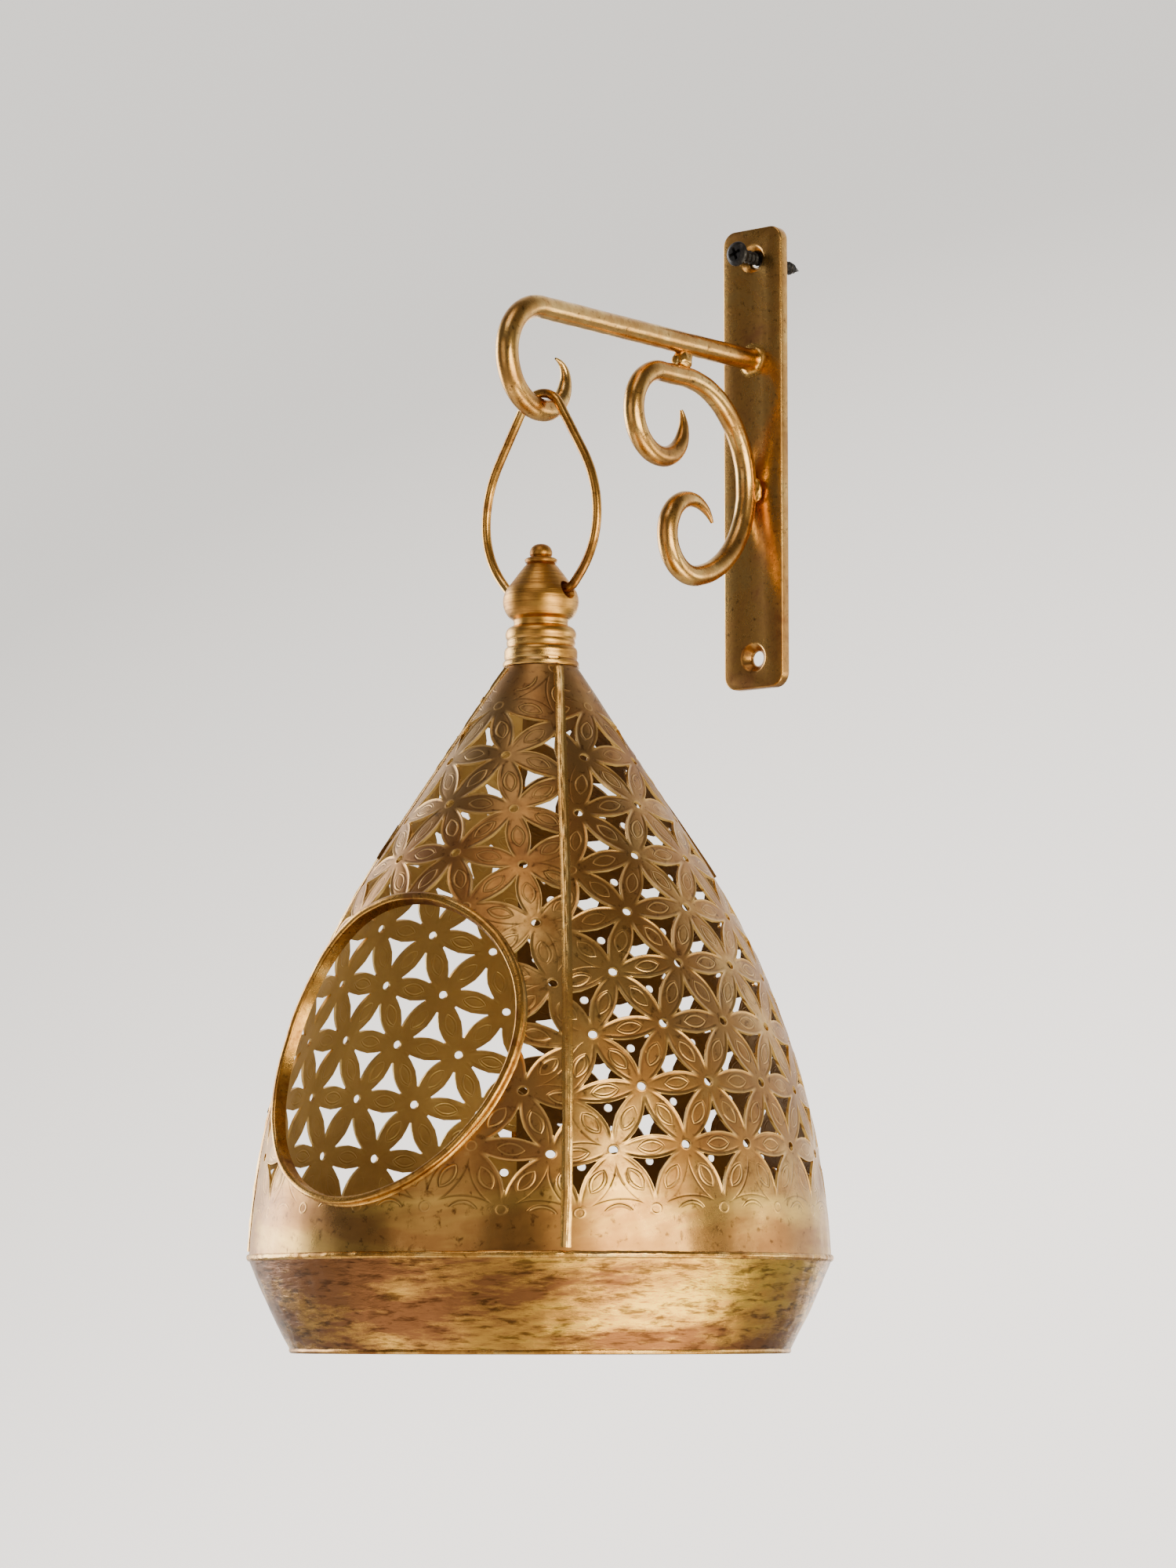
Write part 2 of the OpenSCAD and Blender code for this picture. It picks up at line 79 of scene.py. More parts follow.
# the body's meridian: a straight cone, then one arc down to the shoulder
BODY_TOP_Z = PANEL_HIGH[2]
PANEL_LOW_Z = PANEL_LOW[2]
NECK_R = 12.1
SHOULDER_R = PANEL_HIGH[0]
CONE = math.radians(32.8)
SHOULDER_SLOPE = math.radians(3)
FALL = BODY_TOP_Z - PANEL_LOW_Z
ARC_RISE = math.sin(CONE) - math.sin(SHOULDER_SLOPE)
ARC_RUN = math.cos(SHOULDER_SLOPE) - math.cos(CONE)
ARC_R = (FALL * math.tan(CONE) - (SHOULDER_R - NECK_R)) / (ARC_RISE * math.tan(CONE) - ARC_RUN)
CONE_LEN = (FALL - ARC_R * ARC_RISE) / math.cos(CONE)
SLANT = CONE_LEN + ARC_R * (CONE - SHOULDER_SLOPE)
ARC_CENTRE_R = NECK_R + CONE_LEN * math.sin(CONE) - ARC_R * math.cos(CONE)
ARC_CENTRE_Z = BODY_TOP_Z - CONE_LEN * math.cos(CONE) - ARC_R * math.sin(CONE)
BODY_MIDDLE_Z = -250.0

# the pierced pattern, on the flat sheet before it is bent
PITCH = 24.2
ROW_STEP = 19.6
FIRST_ROW = 36.5
PETAL_BOW = 0.17 * PITCH
PETAL_ARC_R = (PITCH ** 2 / 4 + PETAL_BOW ** 2) / (2 * PETAL_BOW)
EYE_R = 1.5
EYE_HALF_LEN = 0.17 * PITCH
EYE_BOW = 0.08 * PITCH
EYE_ARC_R = (EYE_HALF_LEN ** 2 + EYE_BOW ** 2) / (2 * EYE_BOW)
TIP_AT = 0.28 * PITCH

# plain sheet at the neck, at the shoulder, and beside the seams and the opening
PLAIN_TOP = 18.5
PLAIN_BOTTOM = 21.5
PLAIN_EDGE = 0.5

# how far inside the pattern's border a hole and a cut-out lie, and how far outside it marks may lie
HOLE_MARGIN = 0.8
CUT_OUT_MARGIN = 1.5
MARK_REACH = 12.5

# the seams: half the strip's width, and how far they lean sideways at the neck
SEAM_W = 1.6
SEAM_LEAN = 4.9

# the side opening and the thickness of its rim
OPENING_R = 46.0
OPENING_Z = -210.0
RIM_T = 1.8


# ---- small helpers
def mesh_object(name, points, faces):
    """A mesh object from points in millimetres."""
    mesh = bpy.data.meshes.new(name)
    mesh.from_pydata([tuple(p) for p in np.asarray(points, float) * MM], [], faces)
    mesh.validate()
    mesh.update()
    obj = bpy.data.objects.new(name, mesh)
    bpy.context.scene.collection.objects.link(obj)
    shade(obj, 35)
    return obj


def shade(obj, angle):
    """Smooth shading, with sharp edges above an angle in degrees."""
    obj.data.shade_smooth()
    obj.data.set_sharp_from_angle(angle=math.radians(angle))


def face_outwards(obj, join_doubles=False):
    """Turns a closed mesh's faces outwards, and may first join points that lie in one place."""
    work = bmesh.new()
    work.from_mesh(obj.data)
    if join_doubles:
        bmesh.ops.remove_doubles(work, verts=work.verts, dist=1e-7)
    bmesh.ops.recalc_face_normals(work, faces=work.faces)
    work.to_mesh(obj.data)
    work.free()


def solid(name, points, faces, smooth_angle=35):
    """A closed mesh object from points in millimetres, its faces turned outwards."""
    obj = mesh_object(name, points, faces)
    face_outwards(obj)
    shade(obj, smooth_angle)
    return obj


def bake_modifiers(obj):
    """Turns the object's modifiers into plain mesh."""
    graph = bpy.context.evaluated_depsgraph_get()
    mesh = bpy.data.meshes.new_from_object(obj.evaluated_get(graph))
    obj.modifiers.clear()
    old, obj.data = obj.data, mesh
    bpy.data.meshes.remove(old)


def cut(obj, points, faces):
    """Cuts the space inside a closed mesh out of an object, points in millimetres."""
    cutter = solid("cutter", points, faces)
    tool = obj.modifiers.new("cut", "BOOLEAN")
    tool.object = cutter
    tool.operation = "DIFFERENCE"
    tool.solver = "EXACT"
    bake_modifiers(obj)
    bpy.data.objects.remove(cutter)


def grid_faces(rows, columns, wrap_rows=False, wrap_columns=True):
    """Quads over points laid out row by row."""
    faces = []
    for i in range(rows if wrap_rows else rows - 1):
        for j in range(columns if wrap_columns else columns - 1):
            a, b = i * columns, ((i + 1) % rows) * columns
            k = (j + 1) % columns
            faces.append((a + j, a + k, b + k, b + j))
    return faces


def tube_faces(rings, sides):
    """Faces of a tube with both ends closed, over points laid out ring by ring."""
    count = rings * sides
    first_end = tuple(range(sides))
    last_end = tuple(range(count - 1, count - 1 - sides, -1))
    return grid_faces(rings, sides) + [first_end, last_end]


def prism_faces(corners):
    """Faces of a prism, whose points are one end's corners and then the other end's."""
    ends = [tuple(range(corners)), tuple(range(2 * corners - 1, corners - 1, -1))]
    return ends + [(i, (i + 1) % corners, corners + (i + 1) % corners, corners + i) for i in range(corners)]


def dent(point, size, seed=0.0):
    """Smooth noise between -1 and 1 at a point in millimetres."""
    return noise.noise(Vector((point[0] / size + seed, point[1] / size, point[2] / size)))


def lathe(name, outline, steps):
    """Turns an outline of (radius, height) about the lantern's axis."""
    points = []
    for i in range(steps):
        a = TAU * i / steps
        for r, z in outline:
            points.append((r * math.sin(a), AXIS_Y - r * math.cos(a), z))
    faces = grid_faces(steps, len(outline), wrap_rows=True, wrap_columns=False)
    obj = mesh_object(name, points, faces)
    face_outwards(obj, join_doubles=True)
    shade(obj, 60)
    return obj


def arc(centre, radius, start, end, steps):
    """Points of an arc in a drawing, angles in degrees."""
    return [(centre[0] + radius * math.cos(math.radians(start + (end - start) * i / steps)),
             centre[1] + radius * math.sin(math.radians(start + (end - start) * i / steps)))
            for i in range(steps + 1)]


def resample(path, step):
    """Evenly spaced points along a drawing's path."""
    path = np.array(path, float)
    lengths = np.concatenate([[0], np.cumsum(np.linalg.norm(np.diff(path, axis=0), axis=1))])
    keep = np.concatenate([[True], np.diff(lengths) > 1e-6])
    path, lengths = path[keep], lengths[keep]
    places = np.linspace(0, lengths[-1], max(int(lengths[-1] / step), 3))
    return np.stack([np.interp(places, lengths, path[:, k]) for k in range(path.shape[1])], axis=1)


def bar(name, path, radii, normal, sides, forged, seed, closed=False):
    """A round bar along points in a plane with this normal: a radius at each point, uneven by a share."""
    path, normal = np.array(path, float), np.array(normal, float)
    count = len(path)
    points = []
    for i in range(count):
        before = path[(i - 1) % count] if closed or i else path[0]
        after = path[(i + 1) % count] if closed or i < count - 1 else path[-1]
        along = (after - before) / np.linalg.norm(after - before)
        side = np.cross(along, normal)
        for k in range(sides):
            a = TAU * k / sides
            out = math.cos(a) * normal + math.sin(a) * side
            r = radii[i] * (1 + forged * dent(path[i] + 3 * out, 5.0, seed))
            points.append(path[i] + r * out)
    faces = grid_faces(count, sides, wrap_rows=True) if closed else tube_faces(count, sides)
    return solid(name, points, faces, 50)


# ---- materials
class Nodes:
    """One material's node tree, built with short calls."""

    def __init__(self, name):
        self.material = bpy.data.materials.new(name)
        self.material.use_nodes = True
        self.tree = self.material.node_tree
        self.shader = self.tree.nodes["Principled BSDF"]
        self.place = self.add("ShaderNodeTexCoord").outputs["Object"]

    def add(self, kind, **values):
        node = self.tree.nodes.new(kind)
        for key, value in values.items():
            setattr(node, key, value)
        return node

    def put(self, source, socket):
        """Gives a socket a constant, a colour or another node's output."""
        if isinstance(source, (int, float)):
            socket.default_value = source
        elif isinstance(source, tuple):
            socket.default_value = (*source, 1)
        else:
            self.tree.links.new(source, socket)

    def stretched(self, scale):
        mapping = self.add("ShaderNodeMapping")
        mapping.inputs["Scale"].default_value = scale
        self.put(self.place, mapping.inputs["Vector"])
        return mapping.outputs["Vector"]

    def feed(self, socket, source):
        self.put(source, self.shader.inputs[socket])

    def noise(self, scale, detail, rough, distort=0.0, stretch=None):
        node = self.add("ShaderNodeTexNoise")
        for name, value in (("Scale", scale), ("Detail", detail),
                            ("Roughness", rough), ("Distortion", distort)):
            node.inputs[name].default_value = value
        self.put(self.stretched(stretch) if stretch else self.place, node.inputs["Vector"])
        return node.outputs["Fac"]

    def ramp(self, value, *stops):
        node = self.add("ShaderNodeValToRGB")
        elements = node.color_ramp.elements
        while len(elements) < len(stops):
            elements.new(0.5)
        for element, (at, colour) in zip(elements, stops):
            element.position = at
            rgb = colour if isinstance(colour, tuple) else (colour,) * 3
            element.color = (*rgb, 1)
        self.put(value, node.inputs["Fac"])
        return node.outputs["Color"]

    def mix(self, factor, a, b):
        node = self.add("ShaderNodeMix", data_type="RGBA")
        for source, index in ((factor, 0), (a, 6), (b, 7)):
            self.put(source, node.inputs[index])
        return node.outputs[2]

    def maths(self, operation, a, b=0.0, clamp=False):
        node = self.add("ShaderNodeMath", operation=operation, use_clamp=clamp)
        for source, socket in zip((a, b), node.inputs):
            self.put(source, socket)
        return node.outputs["Value"]

    def plus(self, a, b, clamp=False):
        return self.maths("ADD", a, b, clamp)

    def minus(self, a, b, clamp=False):
        return self.maths("SUBTRACT", a, b, clamp)

    def times(self, a, b, clamp=False):
        return self.maths("MULTIPLY", a, b, clamp)

    def bump(self, heights, strength, distance):
        node = self.add("ShaderNodeBump")
        node.inputs["Strength"].default_value = strength
        node.inputs["Distance"].default_value = distance
        self.put(heights, node.inputs["Height"])
        self.feed("Normal", node.outputs["Normal"])

    def split(self, vector):
        node = self.add("ShaderNodeSeparateXYZ")
        self.put(vector, node.inputs["Vector"])
        return node.outputs["X"], node.outputs["Y"], node.outputs["Z"]

    def inside_arc(self, radius, bow, along, beside):
        """How far inside an arc a place is. The arc bows out beside a petal's middle."""
        square = self.minus(radius * radius, self.times(along, along))
        arc_at = self.minus(self.maths("SQRT", square), radius - bow)
        return self.minus(arc_at, beside)

    def line(self, distance, at, width, strength):
        """A soft-edged line where a distance has a given value."""
        off = self.maths("DIVIDE", self.minus(distance, at), width)
        return self.times(self.maths("EXPONENT", self.times(self.times(off, off), -1.0)), strength)

    def stamped(self):
        """Stamped lines on the petals: how bright, dark and high the sheet is there. Bright means rubbed
        edges and a painted highlight on the raised eye rings; dark means painted shade in the hollows and
        grooves beside the ridges, and the stamped outlines.
        """
        attribute = self.add("ShaderNodeAttribute", attribute_name="petal")
        along, beside, depth = self.split(attribute.outputs["Vector"])
        opened = self.add("ShaderNodeAttribute", attribute_name="cut_through").outputs["Fac"]
        from_middle = self.maths("ABSOLUTE", self.minus(PITCH / 2, along))
        on_petal = self.times(self.minus(along, 0.14 * PITCH), 0.5, clamp=True)
        inside = self.inside_arc(PETAL_ARC_R, PETAL_BOW, from_middle, beside)
        eye = self.inside_arc(EYE_ARC_R, EYE_BOW, from_middle, beside)
        from_centre = self.maths("SQRT", self.plus(self.times(along, along), self.times(beside, beside)))
        edge = self.times(self.line(inside, 0.1, 0.45, 1.0), opened)
        # painted highlight: the raised ring round each eye is drawn lighter
        ring_highlight = self.times(self.line(eye, 0.0, 0.26, 1.0), depth)
        # painted shade: the hollows on either side of the eye ring are drawn darker
        hollow_shade = self.plus(self.line(eye, -0.55, 0.30, 0.8), self.line(eye, 0.55, 0.30, 0.5))
        hollow_shade = self.times(hollow_shade, depth)
        beside_cut_out = self.times(opened, depth)
        # painted shade: the groove inside the lip beside a cut-out is drawn darker
        groove_shade = self.times(self.line(inside, 1.15, 0.35, 0.45), beside_cut_out)
        on_plain_sheet = self.minus(depth, opened, clamp=True)
        outline = self.times(self.line(inside, 0.0, 0.30, 0.8), on_plain_sheet)
        rubbed_and_highlit = self.times(self.plus(edge, ring_highlight), on_petal)
        rubbed_and_highlit = self.plus(rubbed_and_highlit, self.line(from_centre, EYE_R + 0.1, 0.3, 0.5), clamp=True)
        painted_shade_and_outline = self.plus(self.plus(hollow_shade, groove_shade), outline)
        painted_shade_and_outline = self.times(painted_shade_and_outline, on_petal)
        return rubbed_and_highlit, self.maths("MINIMUM", painted_shade_and_outline, 1.0), self.minus(rubbed_and_highlit, painted_shade_and_outline)

    def height_in_panels(self):
        """Height in the panels: 0 at the shoulder, 1 at 60 mm above it."""
        above = self.minus(self.split(self.place)[2], PANEL_LOW_Z * MM)
        return self.maths("DIVIDE", above, 60 * MM)

    def facing_inwards(self):
        """1 where the surface looks towards the middle of the body, 0 where it looks away."""
        away = self.add("ShaderNodeVectorMath", operation="SUBTRACT")
        away.inputs[1].default_value = (0.0, AXIS_Y * MM, BODY_MIDDLE_Z * MM)
        self.put(self.place, away.inputs[0])
        dot = self.add("ShaderNodeVectorMath", operation="DOT_PRODUCT")
        self.put(away.outputs["Vector"], dot.inputs[0])
        self.put(self.add("ShaderNodeNewGeometry").outputs["True Normal"], dot.inputs[1])
        return self.maths("LESS_THAN", dot.outputs["Value"], 0.0)


GOLD = (0.66, 0.36, 0.085)
PALE_GOLD = (0.88, 0.60, 0.22)
BROWN = (0.27, 0.115, 0.030)
DARK = (0.060, 0.024, 0.008)
# olive patina for the panels' insides, made light enough to be painted light there; OLIVE also serves the
# floor's brass
OLIVE = (0.90, 0.65, 0.24)
DULL_OLIVE = (0.62, 0.42, 0.15)
RUBBED = (0.86, 0.60, 0.16)
GREY_GREEN = (0.22, 0.18, 0.09)
# dark inner colours for the back panel: painted shade inside the body
INSIDE_SHADE = (0.16, 0.085, 0.03)
DULL_INSIDE_SHADE = (0.34, 0.20, 0.065)


def aged_brass(name, light=PALE_GOLD, mid=GOLD, brown=BROWN, patches=26.0, gold_share=0.5,
               rough=(0.22, 0.46), streaks=None, bump=0.35, dirty=0.43, fade=0.135, inner=None):
    """Old rubbed brass: gold with brown clouds, dark dirt in the hollows, fine scratches.

    With two inner colours it is the pierced sheet's: a grey-green patina, stamped petals (rubbed edges,
    painted highlights on the raised rings, painted shade in the hollows), a foot that hands have rubbed
    bright, and a dull inside, olive where it paints the light and dark where it paints the shade."""
    nodes = Nodes(name)
    clouds = nodes.noise(patches, 7, 0.62, 0.5, streaks)
    fine = nodes.noise(patches * 6, 8, 0.7, 0.0, streaks)
    dirt = nodes.noise(patches * 15, 5, 0.65, 0.3, streaks)
    amount = nodes.plus(nodes.times(clouds, 0.68), nodes.times(fine, 0.32))
    middle = 0.56 - 0.12 * gold_share
    colour = nodes.ramp(amount, (middle - fade, brown), (middle, mid), (middle + fade, light))
    shine = nodes.ramp(amount, (0.35, rough[1]), (0.62, rough[0]))
    height = nodes.plus(nodes.times(fine, 0.6), nodes.times(dirt, 0.3))
    metal = 1.0
    if inner:
        patina = nodes.ramp(nodes.noise(15.0, 5, 0.6, 0.2), (0.48, 0.0), (0.64, 0.45))
        colour = nodes.mix(patina, colour, GREY_GREEN)
        foot = nodes.ramp(nodes.height_in_panels(), (0.24, 1.0), (0.48, 0.0))
        wiped = nodes.noise(26.0, 5, 0.6, 0.4, (0.35, 0.35, 1.6))
        rubbed = nodes.ramp(wiped, (0.38, brown), (0.50, mid), (0.64, RUBBED))
        colour = nodes.mix(nodes.times(foot, 0.7), colour, rubbed)
        shine = nodes.minus(shine, nodes.times(foot, 0.05))
        streaky = nodes.times(nodes.times(wiped, foot), 2.6)
        height = nodes.times(nodes.plus(height, streaky), 0.5)
    colour = nodes.mix(nodes.ramp(dirt, (dirty - 0.13, 0.75), (dirty, 0.0)), colour, DARK)
    if inner:
        rubbed_and_highlit, painted_shade_and_outline, raised = nodes.stamped()
        # stamped marks, darker: painted shade in the hollows and grooves beside the ridges, and the stamped
        # outlines
        colour = nodes.mix(nodes.times(painted_shade_and_outline, 0.55), colour, DARK)
        # stamped marks, lighter: rubbed edges and a painted highlight on the raised eye rings
        colour = nodes.mix(nodes.times(rubbed_and_highlit, 0.75), colour, light)
        height = nodes.plus(nodes.times(raised, 0.9), height)
        inwards = nodes.facing_inwards()
        # inside the body the colour turns to the inner colours: painted light (olive) or painted shade
        # (dark)
        colour = nodes.mix(inwards, colour, nodes.ramp(clouds, (0.35, inner[0]), (0.65, inner[1])))
        metal = nodes.minus(1.0, nodes.times(inwards, 0.55))
    nodes.feed("Base Color", colour)
    nodes.feed("Roughness", shine)
    nodes.feed("Metallic", metal)
    nodes.bump(height, bump, 0.0004)
    return nodes.material


def turned_brass(name):
    """Lathe-turned brass with fine rings and dirt in them."""
    nodes = Nodes(name)
    clouds = nodes.noise(34.0, 6, 0.6, 0.3)
    rings = nodes.noise(1.0, 5, 0.6, 0.0, (60.0, 60.0, 2600.0))
    colour = nodes.ramp(clouds, (0.30, BROWN), (0.48, GOLD), (0.68, PALE_GOLD))
    nodes.feed("Base Color", nodes.mix(nodes.ramp(rings, (0.36, 0.6), (0.5, 0.0)), colour, BROWN))
    nodes.feed("Roughness", nodes.ramp(clouds, (0.35, 0.40), (0.6, 0.24)))
    nodes.feed("Metallic", 1.0)
    nodes.bump(rings, 0.5, 0.0002)
    return nodes.material


def black_screw(name):
    """Blackened steel, rubbed grey in places."""
    nodes = Nodes(name)
    wear = nodes.noise(400.0, 5, 0.6)
    nodes.feed("Base Color", nodes.ramp(wear, (0.4, (0.012, 0.012, 0.014)), (0.68, (0.06, 0.06, 0.065))))
    nodes.feed("Roughness", nodes.ramp(wear, (0.35, 0.55), (0.65, 0.32)))
    nodes.feed("Metallic", 0.7)
    nodes.bump(wear, 0.3, 0.0002)
    return nodes.material


def plain_steel(name):
    """Bare steel with a cloudy dull surface."""
    nodes = Nodes(name)
    wear = nodes.noise(180.0, 6, 0.6)
    nodes.feed("Base Color", nodes.ramp(wear, (0.35, (0.30, 0.28, 0.25)), (0.65, (0.52, 0.50, 0.46))))
    nodes.feed("Roughness", nodes.ramp(wear, (0.35, 0.5), (0.65, 0.32)))
    nodes.feed("Metallic", 1.0)
    return nodes.material


def pierced_brass(name, inner):
    """The panels' brass, browner outside, with its own inner colours, which paint the light or the shade
    inside the body.
    """
    return aged_brass(name, patches=22.0, gold_share=0.32, rough=(0.30, 0.48), inner=inner,
                      light=(0.82, 0.52, 0.18), mid=(0.44, 0.225, 0.068), brown=(0.28, 0.13, 0.044))


# two copies of the panels' brass: one with painted light inside, one with painted shade inside
PIERCED = pierced_brass("pierced_brass", (DULL_OLIVE, OLIVE))
PIERCED_SHADED_INSIDE = pierced_brass("pierced_brass_shaded_inside", (INSIDE_SHADE, DULL_INSIDE_SHADE))
BRACKET = aged_brass("bracket_brass", patches=34.0, gold_share=0.5, rough=(0.20, 0.36), bump=0.25,
                     mid=(0.62, 0.35, 0.105), brown=(0.32, 0.15, 0.05))
SOLDER = aged_brass("solder", patches=60.0, gold_share=0.6, rough=(0.2, 0.36), bump=0.5)
SEAM = aged_brass("seam_solder", patches=60.0, gold_share=0.8, rough=(0.2, 0.34), bump=0.3, dirty=0.37,
                  light=(0.92, 0.62, 0.22), mid=(0.70, 0.40, 0.11), brown=(0.36, 0.18, 0.055))
WIRE = aged_brass("wire_brass", patches=50.0, gold_share=0.2, rough=(0.22, 0.36), bump=0.12)
TURNED = turned_brass("turned_brass")
RIM = aged_brass("rim_brass", patches=45.0, gold_share=0.4, rough=(0.20, 0.36))
BAND = aged_brass("band_brass", patches=24.0, gold_share=0.2, rough=(0.20, 0.36), streaks=(0.32, 0.32, 1.6),
                  light=(0.84, 0.54, 0.10), mid=(0.62, 0.34, 0.08), brown=(0.25, 0.11, 0.042),
                  bump=1.0, dirty=0.50, fade=0.07)
INSIDE = aged_brass("floor_brass", patches=30.0, gold_share=0.1, rough=(0.35, 0.55), light=GOLD, mid=OLIVE)
STEEL = plain_steel("inner_steel")
BLACK = black_screw("screw_black")


def dress(obj, material, body, node):
    """Gives a finished piece its material in one slot and its body, and hides the CAD node that it stands
    for.
    """
    obj.data.materials.clear()
    obj.data.materials.append(material)
    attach(obj, body)
    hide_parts(node)


# ---- the body's wall
def slope(s):
    """The wall's angle from upright at a distance down the slant."""
    return np.where(s <= CONE_LEN, CONE, CONE - (s - CONE_LEN) / ARC_R)


def wall(s):
    """Outer radius and height of the wall at a distance down the slant."""
    angle = slope(s)
    on_cone = s <= CONE_LEN
    radius = np.where(on_cone, NECK_R + s * math.sin(CONE), ARC_CENTRE_R + ARC_R * np.cos(angle))
    height = np.where(on_cone, BODY_TOP_Z - s * math.cos(CONE), ARC_CENTRE_Z + ARC_R * np.sin(angle))
    return radius, height


HALF_PANEL = math.pi / 4
SLANTS = np.linspace(-20, SLANT + 20, 800)
HEIGHTS = wall(SLANTS)[1]


def slant_at(z):
    """Distance down the slant at a height."""
    return np.interp(-np.asarray(z, float), -HEIGHTS, SLANTS)


def on_body(s, azimuth, out):
    """Points at a distance down the slant, at radians from -Y towards +X, and out from the wall."""
    radius, height = wall(s)
    angle = slope(s)
    r = radius + out * np.cos(angle)
    z = height + out * np.sin(angle)
    return np.stack([r * np.sin(azimuth), AXIS_Y - r * np.cos(azimuth), z], axis=-1)


def drift(s):
    """The seams lean to one side towards the top: extra azimuth at a distance down the slant."""
    return SEAM_LEAN * (1 - s / SLANT) / wall(s)[0]


def bent(x, y):
    """Where a point of the flat sheet lands: distance down the slant and azimuth from the panel's middle."""
    s = y + x * x * np.sin(slope(y)) / (2 * wall(y)[0])
    return s, x / wall(s)[0]


def is_pierced(x, y, margin, opening):
    """Is the pattern cut through at this point of the flat sheet, with a margin all round?"""
    s, azimuth = bent(np.array(x, float), np.array(y, float))
    radius, height = wall(s)
    inside = (y > PLAIN_TOP + margin and s < SLANT - PLAIN_BOTTOM - margin
              and abs(azimuth - drift(s)) * radius < HALF_PANEL * radius - PLAIN_EDGE - margin)
    if inside and opening:
        across, up = radius * math.sin(azimuth), height - OPENING_Z
        inside = math.hypot(across, up) > OPENING_R + RIM_T + PLAIN_EDGE + margin
    return bool(inside)


# ---- pierced panels
# rays of one sixth of a flower, from one petal's axis to the next, and places along each ray
PETAL_END = math.degrees(math.atan2(PETAL_BOW, PITCH / 2))
PETAL_TANGENT = 2 * math.atan(2 * PETAL_BOW / PITCH)
TIP_ANGLE = math.degrees(PETAL_TANGENT - math.asin(TIP_AT / (2 * PETAL_ARC_R)))
HALF_SECTOR = np.concatenate([np.linspace(0, PETAL_END, 8),
                              np.linspace(PETAL_END, TIP_ANGLE, 5)[1:],
                              np.linspace(TIP_ANGLE, 30, 3)[1:]])
SECTOR = np.concatenate([HALF_SECTOR, 60 - HALF_SECTOR[-2::-1]])[:-1]
RINGS = np.array([0, 0.2, 0.4, 0.57, 0.71, 0.82, 0.9, 0.955, 1.0])


def reach(angle, open_sector):
    """How far the metal goes from a flower's centre along a ray, angle in degrees from a petal's axis."""
    a = np.where(angle > 30, 60 - angle, angle)
    to_border = PITCH / 2 / np.cos(np.radians(a))
    if not open_sector:
        return to_border
    to_arc = 2 * PETAL_ARC_R * np.sin(np.maximum(PETAL_TANGENT - np.radians(a), 0))
    return np.where(a <= PETAL_END + 1e-6, to_border, np.where(a >= TIP_ANGLE, TIP_AT, to_arc))


def bell(x, width):
    """A smooth bump, 1 at zero."""
    return np.exp(-(x / width) ** 2)


def lip(angle, r):
    """Height of the petals' raised edge at degrees from a petal's axis and a distance from the centre."""
    a = np.radians(np.where(angle > 30, 60 - angle, angle))
    u, v = r * np.cos(a), r * np.sin(a)
    inside = np.sqrt(PETAL_ARC_R ** 2 - (PITCH / 2 - u) ** 2) - (PETAL_ARC_R - PETAL_BOW) - v
    on_petal = np.clip((u - 0.16 * PITCH) / (0.1 * PITCH), 0, 1)
    return (0.13 * bell(inside - 0.1, 0.5) - 0.05 * bell(inside - 1.1, 0.5)) * on_petal


def chance(*values):
    """A repeatable number from 0 to 1 for a place."""
    total = math.sin(sum(v * k for v, k in zip(values, (12.9898, 78.233, 37.719)))) * 43758.5453
    return total - math.floor(total)


def leaned(x, y, lean):
    """Moves a place across the sheet so that each row steps aside from the row above it."""
    return x + lean * ((y - FIRST_ROW) / ROW_STEP - 4)


def flower_cell(x0, y0, facing, opening, lean):
    """One flower's six-sided cell on the flat sheet: points, heights, petal coordinates and faces.

    The petal coordinates are the distance along and beside the nearest petal's axis, how deep its
    stamped marks are, and whether the sheet beside it is cut through."""
    squash = ROW_STEP / (PITCH * math.sqrt(3) / 2)
    eye_open = is_pierced(leaned(x0, y0, lean), y0, EYE_R + HOLE_MARGIN, opening)
    start = EYE_R if eye_open else 0.4
    flats, heights, petals = [], [], []
    for turn in range(0, 360, 60):
        heart = math.radians(turn + 30)
        heart_y = y0 + PITCH / math.sqrt(3) * math.sin(heart) * squash
        heart_x = leaned(x0 + PITCH / math.sqrt(3) * math.cos(heart), heart_y, lean)
        open_sector = is_pierced(heart_x, heart_y, CUT_OUT_MARGIN, opening)
        near_pattern = open_sector or is_pierced(heart_x, heart_y, -MARK_REACH, opening)
        for angle in SECTOR:
            r = start + (float(reach(np.array(angle), open_sector)) - start) * RINGS
            a = math.radians(turn + angle)
            y = y0 + r * math.sin(a) * squash
            flats.append(np.stack([leaned(x0 + r * math.cos(a), y, lean), y], axis=1))
            heights.append(lip(np.full(len(r), angle), r) if open_sector else r * 0)
            folded = math.radians(60 - angle if angle > 30 else angle)
            petal = math.radians(60 * round((turn + angle) / 60))
            petal_x = x0 + PITCH / 2 * math.cos(petal)
            petal_y = y0 + PITCH / 2 * math.sin(petal)
            depth = 0.25 + 0.75 * chance(round(petal_x, 1), round(petal_y, 1), facing)
            depth = depth if near_pattern else 0.0
            petals.append(np.stack([r * math.cos(folded), r * math.sin(folded), r * 0 + depth,
                                    r * 0 + open_sector], axis=1))
    rays, rings = len(heights), len(RINGS)
    faces = grid_faces(rays, rings, wrap_rows=True, wrap_columns=False)
    if not eye_open:
        faces.append(tuple(i * rings for i in range(rays - 1, -1, -1)))
    return np.concatenate(flats), np.concatenate(heights), np.concatenate(petals), faces


